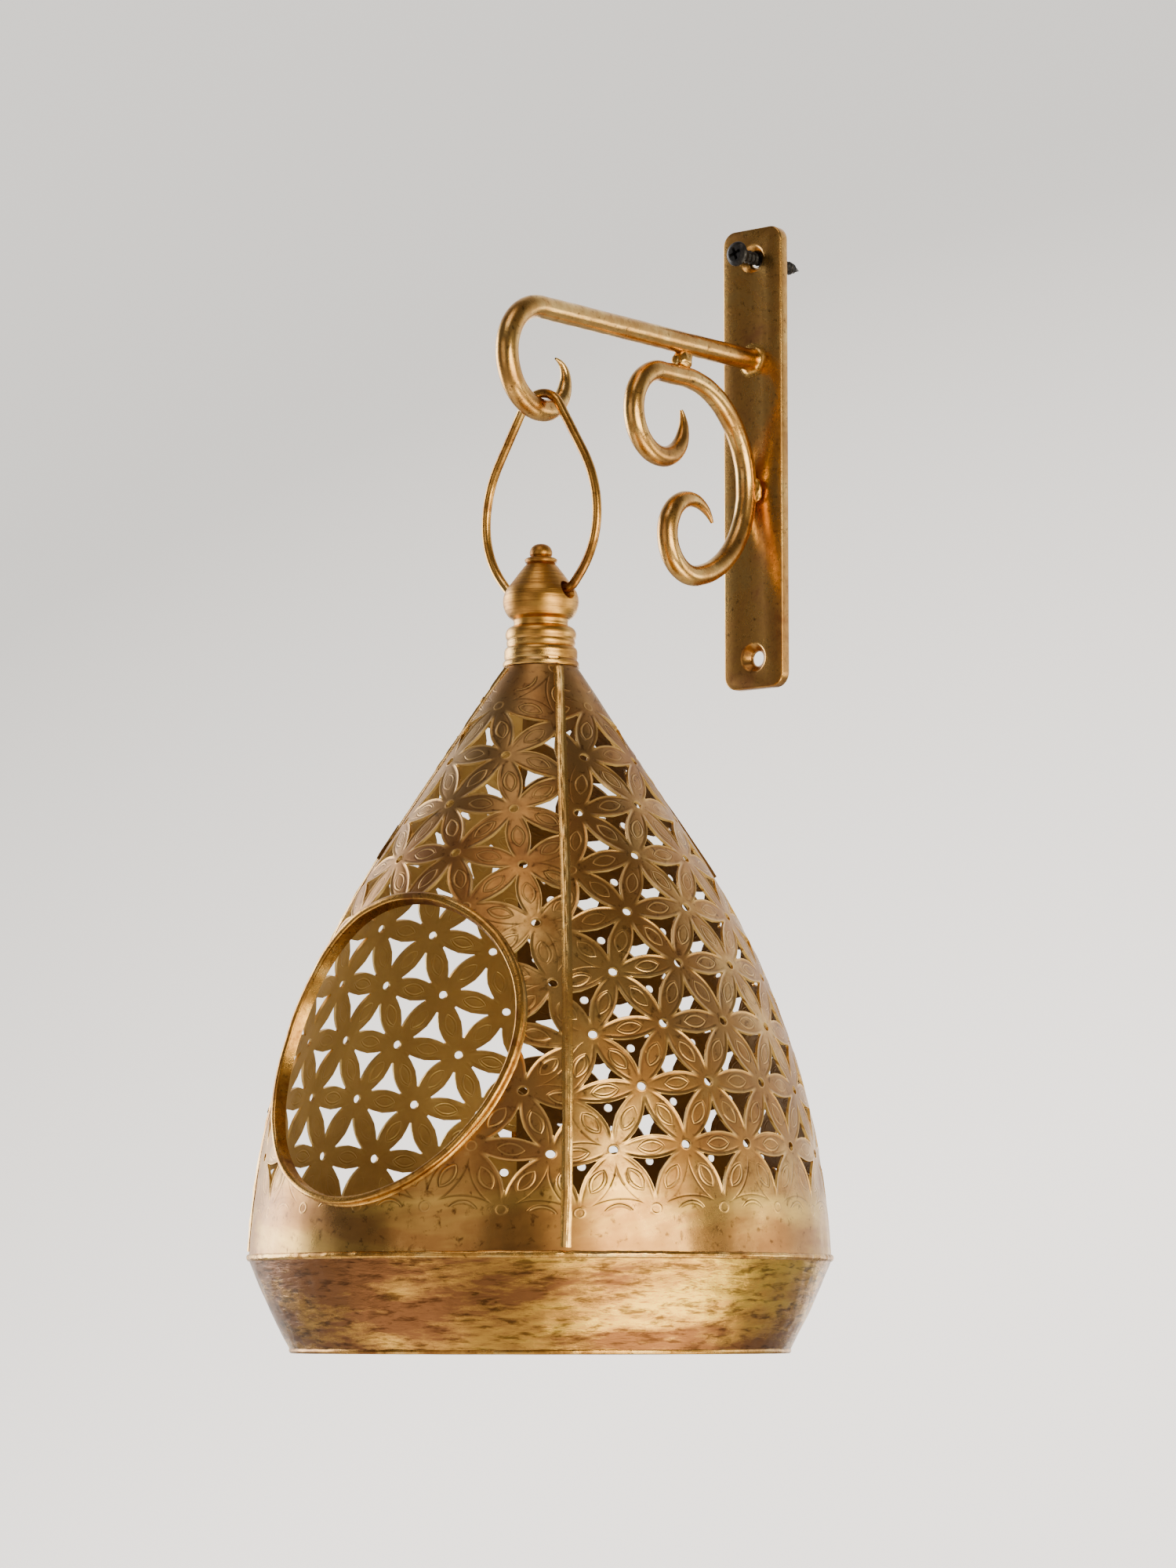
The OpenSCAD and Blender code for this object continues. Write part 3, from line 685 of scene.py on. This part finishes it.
def flower_sheet(facing, opening, aside, lean):
    """All the cells that a panel needs, joined, on the flat sheet."""
    flats, heights, petals, faces, offset = [], [], [], [], 0
    for row in range(-2, 11):
        y0 = FIRST_ROW + row * ROW_STEP
        half_width = HALF_PANEL * float(wall(np.array(min(y0 + 14, SLANT)))[0])
        for column in range(-5, 6):
            x0 = (column + (0.5 if row % 2 == 0 else 0.0)) * PITCH + aside
            if y0 < -14 or abs(leaned(x0, y0, lean)) > half_width + 0.9 * PITCH:
                continue
            cell_flats, cell_heights, cell_petals, cell_faces = flower_cell(x0, y0, facing, opening, lean)
            flats.append(cell_flats)
            heights.append(cell_heights)
            petals.append(cell_petals)
            faces += [tuple(i + offset for i in face) for face in cell_faces]
            offset += len(cell_flats)
    return np.concatenate(flats), np.concatenate(heights), np.concatenate(petals), faces


def clear_opening(s, azimuth):
    """Moves what lies inside the opening out to its edge; also says which points those are."""
    radius, height = wall(s)
    across, up = radius * np.sin(azimuth), height - OPENING_Z
    gap = np.hypot(across, up)
    edge = OPENING_R + RIM_T / 2
    inside = gap < edge
    grow = np.where(inside, edge / np.maximum(gap, 1e-6), 1.0)
    s = np.where(inside, slant_at(OPENING_Z + up * grow), s)
    azimuth = np.where(inside, np.arcsin(np.clip(across * grow / wall(s)[0], -1, 1)), azimuth)
    return s, azimuth, inside


def weld_and_turn_outwards(obj):
    """Joins the cells along their borders and turns every face away from the body's middle."""
    work = bmesh.new()
    work.from_mesh(obj.data)
    bmesh.ops.remove_doubles(work, verts=work.verts, dist=0.03 * MM)
    bmesh.ops.dissolve_degenerate(work, edges=work.edges, dist=0.01 * MM)
    bmesh.ops.delete(work, geom=[v for v in work.verts if not v.link_faces], context="VERTS")
    middle = Vector((0, AXIS_Y * MM, OPENING_Z * MM))
    work.faces.ensure_lookup_table()
    work.normal_update()
    outwards = sum(f.normal.dot(f.calc_center_median() - middle) for f in work.faces)
    if outwards < 0:
        bmesh.ops.reverse_faces(work, faces=work.faces)
    work.to_mesh(obj.data)
    work.free()


def pierced_panel(facing, node, aside, lean):
    """One quarter of the body: stamped, pierced and bent sheet."""
    opening = node == "front_panel"
    flats, heights, petals, faces = flower_sheet(facing, opening, aside, lean)
    s, azimuth = bent(flats[:, 0], flats[:, 1])
    middle = drift(np.clip(s, 0, SLANT))
    outside = (np.abs(azimuth - middle) >= HALF_PANEL) | (s <= 0) | (s >= SLANT)
    azimuth = np.clip(azimuth, middle - HALF_PANEL, middle + HALF_PANEL)
    s = np.clip(s, 0, SLANT)
    if opening:
        s, azimuth, in_opening = clear_opening(s, azimuth)
        outside |= in_opening
    faces = [face for face in faces if not all(outside[i] for i in face)]
    azimuth = azimuth + math.radians(facing)
    places = on_body(s, azimuth, heights - 0.05)
    beaten = np.array([0.16 * dent(place, 19.0) + 0.10 * dent(place, 8.0, 3.0) for place in places])
    obj = mesh_object(node + "_pierced", on_body(s, azimuth, heights - 0.15 + beaten), faces)
    petal = obj.data.attributes.new("petal", "FLOAT_VECTOR", "POINT")
    petal.data.foreach_set("vector", petals[:, :3].astype(np.float32).ravel())
    cut_through = obj.data.attributes.new("cut_through", "FLOAT", "POINT")
    cut_through.data.foreach_set("value", petals[:, 3].astype(np.float32))
    weld_and_turn_outwards(obj)
    thick = obj.modifiers.new("thick", "SOLIDIFY")
    thick.thickness = SHEET * 0.9 * MM
    thick.offset = -1
    bake_modifiers(obj)
    shade(obj, 40)
    # the back panel's inside is painted shade; the other panels' insides are painted light
    dress(obj, PIERCED_SHADED_INSIDE if node == "back_panel" else PIERCED, "lantern", node)


# ---- body trim
def seam(facing, node):
    """Soldered strip over a seam, a low band with an uneven ridge down its middle."""
    steps, across = 170, 12
    points = []
    for i in range(steps + 1):
        s = np.array(1.0 + (SLANT - 2.0) * i / steps)
        width = SEAM_W * (1 + 0.14 * dent((0, 0, s), 9.0, facing))
        wander = 0.35 * dent((0, 5, s), 22.0, facing)
        ridge_height = 0.7 + 0.45 * dent((0, 9, s), 4.0, facing)
        middle = math.radians(facing) + float(drift(s))
        top, low = [], []
        for j in range(across + 1):
            v = -1 + 2 * j / across
            ridge = bell(v * SEAM_W, 0.5) * ridge_height
            lumps = 0.08 * dent((v * 4, 2, s), 2.2, facing)
            out = 0.03 + (0.09 + lumps) * (1 - v * v) + 0.55 * ridge
            a = np.array(middle + (v * width + wander * (1 - v * v)) / float(wall(s)[0]))
            top.append(on_body(s, a, out if abs(v) < 1 else 0.05))
            low.append(on_body(s, a, -0.4))
        points += top + low[::-1]
    obj = solid(node + "_soldered", points, tube_faces(steps + 1, 2 * (across + 1)), 40)
    dress(obj, SEAM, "lantern", node)


def opening_rim():
    """Rolled edge around the side opening."""
    steps = 260
    roll = [(0.85 - 1.15 * math.cos(t), 1.9 + 1.05 * math.sin(t))
            for t in np.linspace(-0.4, math.pi + 0.5, 14)]
    section = [(-0.1, -1.5), (-0.1, 1.5)] + roll + [(1.7, 0.9), (1.9, 0.3), (2.5, -0.1), (1.7, -1.5)]
    points = []
    for i in range(steps):
        a = TAU * i / steps
        for wider, out in section:
            r = OPENING_R + wider + 0.12 * dent((40 * math.cos(a), 40 * math.sin(a), 3), 9.0)
            s = slant_at(OPENING_Z + r * math.sin(a))
            azimuth = math.asin(r * math.cos(a) / float(wall(s)[0]))
            uneven = 1 + 0.08 * dent((30 * math.cos(a), 30 * math.sin(a), 8), 6.0)
            points.append(on_body(np.array(s), np.array(azimuth), out * uneven))
    obj = solid("opening_rim_rolled", points, grid_faces(steps, len(section), wrap_rows=True), 50)
    dress(obj, RIM, "lantern", "opening_rim")


def hammered_ring(name, outline, material, node, depth, size, steps=420):
    """A turned ring that is beaten uneven, with dents of a given depth and size."""
    points = []
    for i in range(steps):
        a = TAU * i / steps
        for r, z in outline:
            spot = (r * math.sin(a), r * math.cos(a), z)
            push = depth * (dent(spot, size) + 0.5 * dent(spot, size * 0.35, 7.0))
            r += push
            points.append((r * math.sin(a), AXIS_Y - r * math.cos(a), z + push * 0.3))
    obj = solid(name, points, grid_faces(steps, len(outline), wrap_rows=True), 50)
    dress(obj, material, "lantern", node)


def lower_band():
    """Sheet that tapers in below the shoulder and bulges half a millimetre."""
    top_r, low_r = BEAD_HIGH[0] - 1.4, HEM_HIGH[0] - 0.35
    top_z, low_z = BAND_HIGH[2] - 0.05, BAND_LOW[2] + 0.05
    outer = [(top_r + (low_r - top_r) * t + 0.5 * math.sin(math.pi * t), top_z + (low_z - top_z) * t)
             for t in np.linspace(0, 1, 26)]
    inner = [(r - SHEET, z) for r, z in outer[::-3]]
    hammered_ring("lower_band_beaten", outer + inner, BAND, "lower_band", 0.22, 7.0)


def shoulder_bead():
    """Lumpy bead of solder along the widest line."""
    middle = (BEAD_HIGH[0] - 1.75, (BEAD_LOW[2] + BEAD_HIGH[2]) / 2)
    outline = arc(middle, 1.15, -160, 160, 14)
    hammered_ring("shoulder_bead_soldered", outline, SOLDER, "shoulder_bead", 0.34, 4.0, 560)


def bottom_hem():
    """Rolled hem, flat where it would stand."""
    middle = (HEM_HIGH[0] - 1.1, HEM_HIGH[2] - 0.15)
    outline = [(r, max(z, HEM_LOW[2])) for r, z in arc(middle, 1.05, -180, 150, 14)]
    hammered_ring("bottom_hem_rolled", outline, RIM, "bottom_hem", 0.1, 6.0)


# ---- knob and collar
def turned(outline, step, depth):
    """A finer outline with tool marks cut into it."""
    mark = 0.55
    out = []
    for r, z in resample(outline, step):
        wave = math.sin(TAU * z / mark) + 0.6 * math.sin(TAU * z / (mark * 2.7) + 1.3)
        out.append((max(r - depth * (1 + wave), 0.0) if r > 1.0 else r, z))
    return out


def knob():
    """Turned knob with a cross hole that flares where the bail's wire enters."""
    low, high = box_mm("finial_knob")
    outline = ([(0.0, low[2]), (8.8, low[2]), (8.75, low[2] + 1.0), (8.9, low[2] + 2.0)]
               + arc((4.7, HOLE_Z - 3.4), 7.55, -42, 38, 24)
               + [(9.3, HOLE_Z + 3.0), (7.4, HOLE_Z + 5.6), (5.7, HOLE_Z + 7.8), (4.6, high[2] - 0.4),
                  (4.4, high[2]), (0.0, high[2])])
    obj = lathe("finial_knob_turned", turned(outline, 0.22, 0.022), 224)
    flare = [(16.0, 4.6), (10.4, 2.75), (9.0, 2.4), (6.5, 1.8)]
    rings = [(-x, r) for x, r in flare] + flare[::-1]
    sides = 40
    points = [(x, AXIS_Y + r * math.cos(TAU * k / sides), HOLE_Z + r * math.sin(TAU * k / sides))
              for x, r in rings for k in range(sides)]
    cut(obj, points, tube_faces(len(rings), sides))
    shade(obj, 50)
    dress(obj, TURNED, "lantern", "finial_knob")


def button():
    """Flanged button on top of the knob."""
    low, high = box_mm("finial_button")
    z = low[2]
    outline = ([(0.0, z), (5.1, z)] + arc((4.8, z + 0.75), 0.5, -60, 60, 6)
               + [(4.6, z + 1.45), (3.6, z + 1.7), (3.3, z + 2.2)]
               + arc((0.6, z + 3.0), 3.1, -12, 88, 16) + [(0.0, high[2] - 0.02)])
    obj = lathe("finial_button_turned", turned(outline, 0.2, 0.02), 128)
    dress(obj, TURNED, "lantern", "finial_button")


def collar_ring():
    """Turned ring under the knob: a large bead over a small one."""
    low, high = box_mm("collar_ring")
    middle = (low[2] + high[2]) / 2
    outline = ([(2.7, high[2]), (8.6, high[2])] + arc((8.6, middle + 0.45), 2.85, 72, -40, 18)
               + arc((8.8, low[2] + 1.1), 2.3, 30, -50, 8) + [(9.4, low[2] + 0.05), (2.7, low[2] + 0.05)])
    obj = lathe("collar_ring_turned", turned(outline, 0.25, 0.03) + [(2.7, high[2])], 224)
    dress(obj, TURNED, "lantern", "collar_ring")


def collar_band():
    """Turned sleeve at the body's neck, with a short slot in its side."""
    low, high = box_mm("collar_band")
    z = low[2]
    outline = [(2.7, high[2]), (10.6, high[2]), (11.5, high[2] - 0.8), (11.8, high[2] - 1.6),
               (11.8, z + 2.9), (11.5, z + 2.5), (11.85, z + 2.1), (12.25, z + 1.5), (12.25, z + 0.6),
               (11.9, z + 0.02), (2.7, z + 0.02)]
    obj = lathe("collar_band_turned", turned(outline, 0.25, 0.015) + [(2.7, high[2])], 224)
    a = math.radians(62)
    out = np.array((math.sin(a), -math.cos(a), 0.0))
    side = np.array((math.cos(a), math.sin(a), 0.0))
    block = [np.array((0, AXIS_Y, z + 2.2 + up)) + out * far + side * wide
             for up in (-0.45, 0.45)
             for far, wide in ((10.6, -1.9), (14.0, -1.9), (14.0, 1.9), (10.6, 1.9))]
    cut(obj, block, prism_faces(4))
    shade(obj, 50)
    dress(obj, TURNED, "lantern", "collar_band")


# ---- bracket
def drawn_out(count, tail, radius, power, thinned):
    """Radii of a bar whose last share is drawn out to a point."""
    radii = []
    for i in range(count):
        t = max(0.0, (i / (count - 1) - (1 - tail)) / tail)
        radii.append(radius * (1 - thinned * t ** power))
    return radii


def in_yz(path):
    """A drawing's path set upright in the bracket's plane."""
    return [(0.0, y, z) for y, z in path]


def arm_hook():
    """Straight arm, open hook and a tip that curls up to a point."""
    r1, r2 = 0.72 * HOOK_R, 0.35 * HOOK_R
    path = ([(FACE_Y + 0.02, ARM_Z), (FACE_Y - 30, ARM_Z)]
            + arc((AXIS_Y, ARM_Z - HOOK_R), HOOK_R, 90, 270, 60)
            + arc((AXIS_Y, HOOK_LOW_Z + r1), r1, 272, 360, 30)
            + arc((AXIS_Y + r1 - r2, HOOK_LOW_Z + r1), r2, 6, 82, 20))
    path = resample(path, 0.7)
    radii = drawn_out(len(path), 0.155, ARM_R, 1.7, 0.9)
    obj = bar("arm_hook_forged", in_yz(path), radii, (1, 0, 0), 32, 0.025, 1.0)
    dress(obj, BRACKET, "bracket", "arm_hook")


def scroll():
    """A large bow against the plate, with a curl at each end."""
    bow_r, low_r, up_r, up_tip_r = 33.7, 12.9, 14.4, 12.0
    low_turn = 79.8
    bow = (FACE_Y - SCROLL_R - bow_r, -11.5)
    low = (bow[0] + (bow_r - low_r) * math.cos(math.radians(low_turn)),
           bow[1] - (bow_r - low_r) * math.sin(math.radians(low_turn)))
    up = (bow[0] - 12.5, bow[1] + bow_r - up_r)
    up_tip = (up[0], up[1] - up_r + up_tip_r)
    path = (arc(up_tip, up_tip_r, 386, 272, 30) + arc(up, up_r, 270, 90, 50)
            + arc(bow, bow_r, 90, -low_turn, 80) + arc(low, low_r, -low_turn - 3, -330, 60))
    path = resample(path, 0.8)
    low_end = drawn_out(len(path), 0.12, SCROLL_R, 1.8, 0.84)
    up_end = drawn_out(len(path), 0.10, SCROLL_R, 1.8, 0.84)[::-1]
    radii = np.minimum(low_end, up_end)
    obj = bar("scroll_forged", in_yz(path), radii, (1, 0, 0), 28, 0.03, 5.0)
    dress(obj, BRACKET, "bracket", "scroll_brace")


def blob(centre, size, node, seed):
    """A lump of weld metal: an uneven rounded block."""
    rows, columns, squareness = 26, 40, 2.4
    points = []
    for i in range(rows):
        up = math.pi * (i + 0.5) / rows - math.pi / 2
        for j in range(columns):
            a = TAU * j / columns
            d = np.array([math.cos(up) * math.cos(a), math.cos(up) * math.sin(a), math.sin(up)])
            d = d / (np.sum(np.abs(d) ** squareness) ** (1 / squareness))
            spot = centre + d * np.array(size)
            points.append(spot + d * 0.5 * dent(spot, 2.2, seed))
    faces = grid_faces(rows, columns) + [tuple(range(columns - 1, -1, -1)),
                                         tuple(range((rows - 1) * columns, rows * columns))]
    obj = solid(node + "_run", points, faces, 60)
    dress(obj, SOLDER, "bracket", node)


def arm_weld():
    """Uneven fillet around the arm where it meets the plate."""
    steps, around = 72, 14
    points = []
    for i in range(steps):
        a = TAU * i / steps
        fat = 2.3 + 0.5 * dent((5 * math.cos(a), 5 * math.sin(a), 1), 2.4)
        for k in range(around):
            t = 0.5 * math.pi * k / (around - 1)
            r = ARM_R - 0.1 + fat * (1 - math.sin(t)) ** 1.2
            y = FACE_Y + 0.1 - fat * (1 - math.cos(t)) ** 1.2 - 0.15
            points.append((r * math.cos(a), min(y, FACE_Y - 0.02), ARM_Z + r * math.sin(a)))
        points.append((2.0 * math.cos(a), FACE_Y - 0.02, ARM_Z + 2.0 * math.sin(a)))
    obj = solid("weld_arm_root_run", points, grid_faces(steps, around + 1, wrap_rows=True), 60)
    dress(obj, SOLDER, "bracket", "weld_arm_root")


def scroll_welds():
    """Beads that hold the scroll to the arm and to the plate."""
    low, high = box_mm("weld_scroll_top")
    blob((low + high) / 2, (3.1, 3.4, 3.1), "weld_scroll_top", 2.0)
    low, high = box_mm("weld_scroll_back")
    blob((low + high) / 2 + np.array((0, 0, -0.5)), (5.0, 1.75, 5.0), "weld_scroll_back", 11.0)


def wall_plate():
    """Flat bar with rounded corners, softened edges and two countersunk holes."""
    half_w, half_h, corner = PLATE_HIGH[0], PLATE_HIGH[2], 5.0
    outline = []
    for cx, cz, start in ((1, 1, 0), (-1, 1, 90), (-1, -1, 180), (1, -1, 270)):
        outline += arc((cx * (half_w - corner), cz * (half_h - corner)), corner, start, start + 90, 12)
    points = [(x, y, z) for y in (FACE_Y, 0.0) for x, z in outline]
    obj = solid("wall_plate_bar", points, prism_faces(len(outline)))
    profile = [(2.5, 1.0), (2.5, FACE_Y + 2.5), (5.0, FACE_Y), (6.0, FACE_Y - 1.0)]
    sides = 40
    for hole_z in (-69.0, 69.0):
        sink = [(r * math.cos(TAU * k / sides), y, hole_z + r * math.sin(TAU * k / sides))
                for r, y in profile for k in range(sides)]
        cut(obj, sink, tube_faces(len(profile), sides))
    soft = obj.modifiers.new("soft", "BEVEL")
    soft.width = 0.55 * MM
    soft.segments = 3
    soft.limit_method = "ANGLE"
    soft.angle_limit = math.radians(40)
    bake_modifiers(obj)
    shade(obj, 30)
    dress(obj, BRACKET, "bracket", "wall_plate")


def screw():
    """Cross-head wood screw with a helical thread."""
    low, high = box_mm("wall_screw")
    z0 = (low[2] + high[2]) / 2
    head_r = (high[0] - low[0]) / 2
    front, end = low[1], high[1]
    head = [(0.0, front), (head_r - 1.5, front + 0.05), (head_r - 0.35, front + 0.75),
            (head_r, front + 1.5), (head_r - 0.2, front + 1.9), (2.3, front + 3.9), (1.6, front + 4.4)]
    start = front + 4.4
    sides, pitch, shank_r = 64, 2.0, 1.75
    rows = [(r, y, 0.0) for r, y in resample(head, 0.25)]
    for y in np.arange(start + 0.2, end, 0.2):
        rows.append((shank_r, y, min(1.0, (y - start) / 2.0, max((end - y) / 5.0, 0.0))))
    points = []
    for r, y, thread in rows:
        taper = min(1.0, max((end - y) / 5.0, 0.02)) if thread or y > start else 1.0
        for k in range(sides):
            a = TAU * k / sides
            wave = 1 - abs(((y / pitch + k / sides) % 1.0) * 2 - 1)
            extra = thread * 0.55 * max(0.0, (wave - 0.45) / 0.55)
            points.append(((r + extra) * taper * math.cos(a), y, z0 + (r + extra) * taper * math.sin(a)))
    obj = solid("wall_screw_threaded", points, tube_faces(len(rows), sides))
    for turn in (20, 110):
        t = math.radians(turn)
        along = np.array([math.cos(t), 0, math.sin(t)])
        side = np.array([-math.sin(t), 0, math.cos(t)])
        recess = []
        for depth, length, width in ((-0.5, 2.7, 0.62), (1.9, 1.3, 0.4)):
            for sa, sb in ((1, 1), (-1, 1), (-1, -1), (1, -1)):
                recess.append(np.array([0, front + depth, z0]) + sa * length * along + sb * width * side)
        cut(obj, recess, prism_faces(4))
    shade(obj, 40)
    dress(obj, BLACK, "bracket", "wall_screw")


# ---- bail
def bail():
    """Pear-shaped loop of wire through the knob's cross hole and over the hook.

    Straight pin, elbow, a low arc and a high arc that meet at the widest place, and a small top arc."""
    half, wide_z = 23.4, -36.0
    pin_half, elbow_r, leg = 10.5, 4.5, math.radians(49)
    top_r, flank = 9.0, math.radians(31)
    top = (0.0, HOOK_LOW_Z + ARM_R + 0.3 + WIRE_R - top_r)
    start = (pin_half + elbow_r * math.sin(leg), HOLE_Z + elbow_r * (1 - math.cos(leg)))
    rise = math.tan(leg)
    low_r = ((half - start[0]) * rise - (wide_z - start[1])) / ((1 - math.sin(leg)) * rise - math.cos(leg))
    flank_top = (top[0] + top_r * math.cos(flank), top[1] + top_r * math.sin(flank))
    high_r = ((half - flank_top[0] - (flank_top[1] - wide_z) * math.tan(flank))
              / (1 - math.cos(flank) - math.sin(flank) * math.tan(flank)))
    side = ([(0.0, HOLE_Z), (pin_half, HOLE_Z)]
            + arc((pin_half, HOLE_Z + elbow_r), elbow_r, -88, -41, 10)
            + arc((half - low_r, wide_z), low_r, -41, 0, 24)
            + arc((half - high_r, wide_z), high_r, 2, 31, 20)
            + arc(top, top_r, 31, 90, 24))
    loop = side + [(-x, z) for x, z in side[-2:0:-1]]
    path = [(x, AXIS_Y, z) for x, z in resample(loop + [loop[0]], 0.9)[:-1]]
    radii = [WIRE_R - 0.01] * len(path)
    obj = bar("bail_wire", path, radii, (0, 1, 0), 20, 0.02, 9.0, closed=True)
    dress(obj, WIRE, "bail", "bail")


# ---- camera, floor and light
def camera():
    """Seen from the right and a little below the lantern's middle, with a long lens."""
    data = bpy.data.cameras.new("camera")
    data.lens = 109.26
    data.sensor_width = 36
    turn, distance, height, centre_y = math.radians(40.3), 1.5146, -0.294, -0.1164
    obj = bpy.data.objects.new("camera", data)
    obj.location = (distance * math.sin(turn), centre_y - distance * math.cos(turn), height)
    obj.rotation_euler = (math.radians(90 + 6.48), 0, math.radians(39.706))
    bpy.context.scene.collection.objects.link(obj)
    bpy.context.scene.camera = obj


def area(name, azimuth, distance, height, size, power, colour):
    """Soft light aimed at the lantern, at degrees from -Y towards +X, sizes in metres."""
    data = bpy.data.lights.new(name, "AREA")
    data.shape = "RECTANGLE"
    data.size, data.size_y = size
    data.energy = power
    data.color = colour
    a = math.radians(azimuth)
    place = Vector((distance * math.sin(a), AXIS_Y * MM - distance * math.cos(a), height))
    obj = bpy.data.objects.new(name, data)
    obj.location = place
    obj.rotation_euler = (Vector((0, AXIS_Y * MM, -0.18)) - place).to_track_quat("-Z", "Y").to_euler()
    bpy.context.scene.collection.objects.link(obj)


def lights():
    """Soft lights: strong from both sides, weak from the front, and low ones for the band."""
    white, warm, rosy = (1.0, 0.96, 0.9), (1.0, 0.86, 0.60), (1.0, 0.84, 0.70)
    area("right", 78, 1.7, -0.24, (1.3, 0.8), 26, warm)
    area("far_right", 134, 1.7, -0.3, (0.7, 0.6), 4.5, warm)
    area("left", -84, 1.9, 0.05, (1.2, 1.5), 36, white)
    area("front", 0, 2.0, 0.1, (1.2, 1.5), 4.5, rosy)
    area("low_right", 95, 0.8, -1.04, (1.15, 0.4), 7.6, warm)
    area("high_right", 72, 1.7, 0.24, (0.34, 0.3), 4.5, warm)
    area("top", 10, 0.8, 1.5, (0.9, 0.9), 5.5, rosy)
    area("low_front", -30, 0.8, -1.04, (0.8, 0.3), 1.2, rosy)


def pale_floor():
    """A round floor, well below the lantern."""
    radius, low, corners = 6000.0, -1300.0, 96
    points = [(radius * math.cos(TAU * i / corners), radius * math.sin(TAU * i / corners), low)
              for i in range(corners)]
    floor = mesh_object("floor", points, [tuple(range(corners))])
    nodes = Nodes("pale_floor")
    clouds = nodes.noise(3.0, 3, 0.5)
    nodes.feed("Base Color", nodes.ramp(clouds, (0.3, (0.66, 0.64, 0.61)), (0.7, (0.70, 0.68, 0.65))))
    nodes.feed("Roughness", 0.8)
    floor.data.materials.append(nodes.material)


def room():
    """Plain pale walls: brightest behind the lantern and to its right, dim behind the camera."""
    world = bpy.data.worlds.new("room")
    world.use_nodes = True
    tree = world.node_tree
    place = tree.nodes.new("ShaderNodeTexCoord")
    turn = tree.nodes.new("ShaderNodeVectorMath")
    turn.operation = "DOT_PRODUCT"
    turn.inputs[1].default_value = (-0.42, 0.83, -0.37)
    half = tree.nodes.new("ShaderNodeMath")
    half.operation = "MULTIPLY_ADD"
    half.inputs[1].default_value = 0.5
    half.inputs[2].default_value = 0.5
    ramp = tree.nodes.new("ShaderNodeValToRGB")
    stops = ((0.42, (0.115, 0.095, 0.078, 1)), (0.80, (1.42, 1.36, 1.28, 1)),
             (0.905, (1.22, 1.16, 1.08, 1)), (0.955, (2.6, 2.42, 2.25, 1)))
    elements = ramp.color_ramp.elements
    while len(elements) < len(stops):
        elements.new(0.99)
    for element, (at, colour) in zip(elements, stops):
        element.position = at
        element.color = colour
    tree.links.new(place.outputs["Generated"], turn.inputs[0])
    tree.links.new(turn.outputs["Value"], half.inputs[0])
    tree.links.new(half.outputs["Value"], ramp.inputs["Fac"])
    tree.links.new(ramp.outputs["Color"], tree.nodes["Background"].inputs["Color"])
    bpy.context.scene.world = world


def dress_cad_nodes():
    """Materials for the hidden CAD nodes that are shown as they are."""
    for node, material in (("tie_stud", STEEL), ("crown_washer", STEEL), ("stud_nut", STEEL),
                           ("cup_rivet", STEEL), ("base_plate", INSIDE), ("candle_cup", INSIDE)):
        mesh = frame["nodes"][node].data
        mesh.materials.clear()
        mesh.materials.append(material)


# ---- build
camera()
pale_floor()
lights()
room()
dress_cad_nodes()
wall_plate()
arm_hook()
scroll()
arm_weld()
scroll_welds()
screw()
bail()
knob()
button()
collar_ring()
collar_band()
for facing, node, aside, lean in ((0, "front_panel", -4.2, -0.9), (90, "right_panel", -4.7, -0.6),
                                  (180, "back_panel", 0.0, 0.0), (270, "left_panel", 7.6, 0.0)):
    pierced_panel(facing, node, aside, lean)
for facing, node in ((45, "seam_front_right"), (135, "seam_back_right"),
                     (225, "seam_back_left"), (315, "seam_front_left")):
    seam(facing, node)
opening_rim()
shoulder_bead()
lower_band()
bottom_hem()
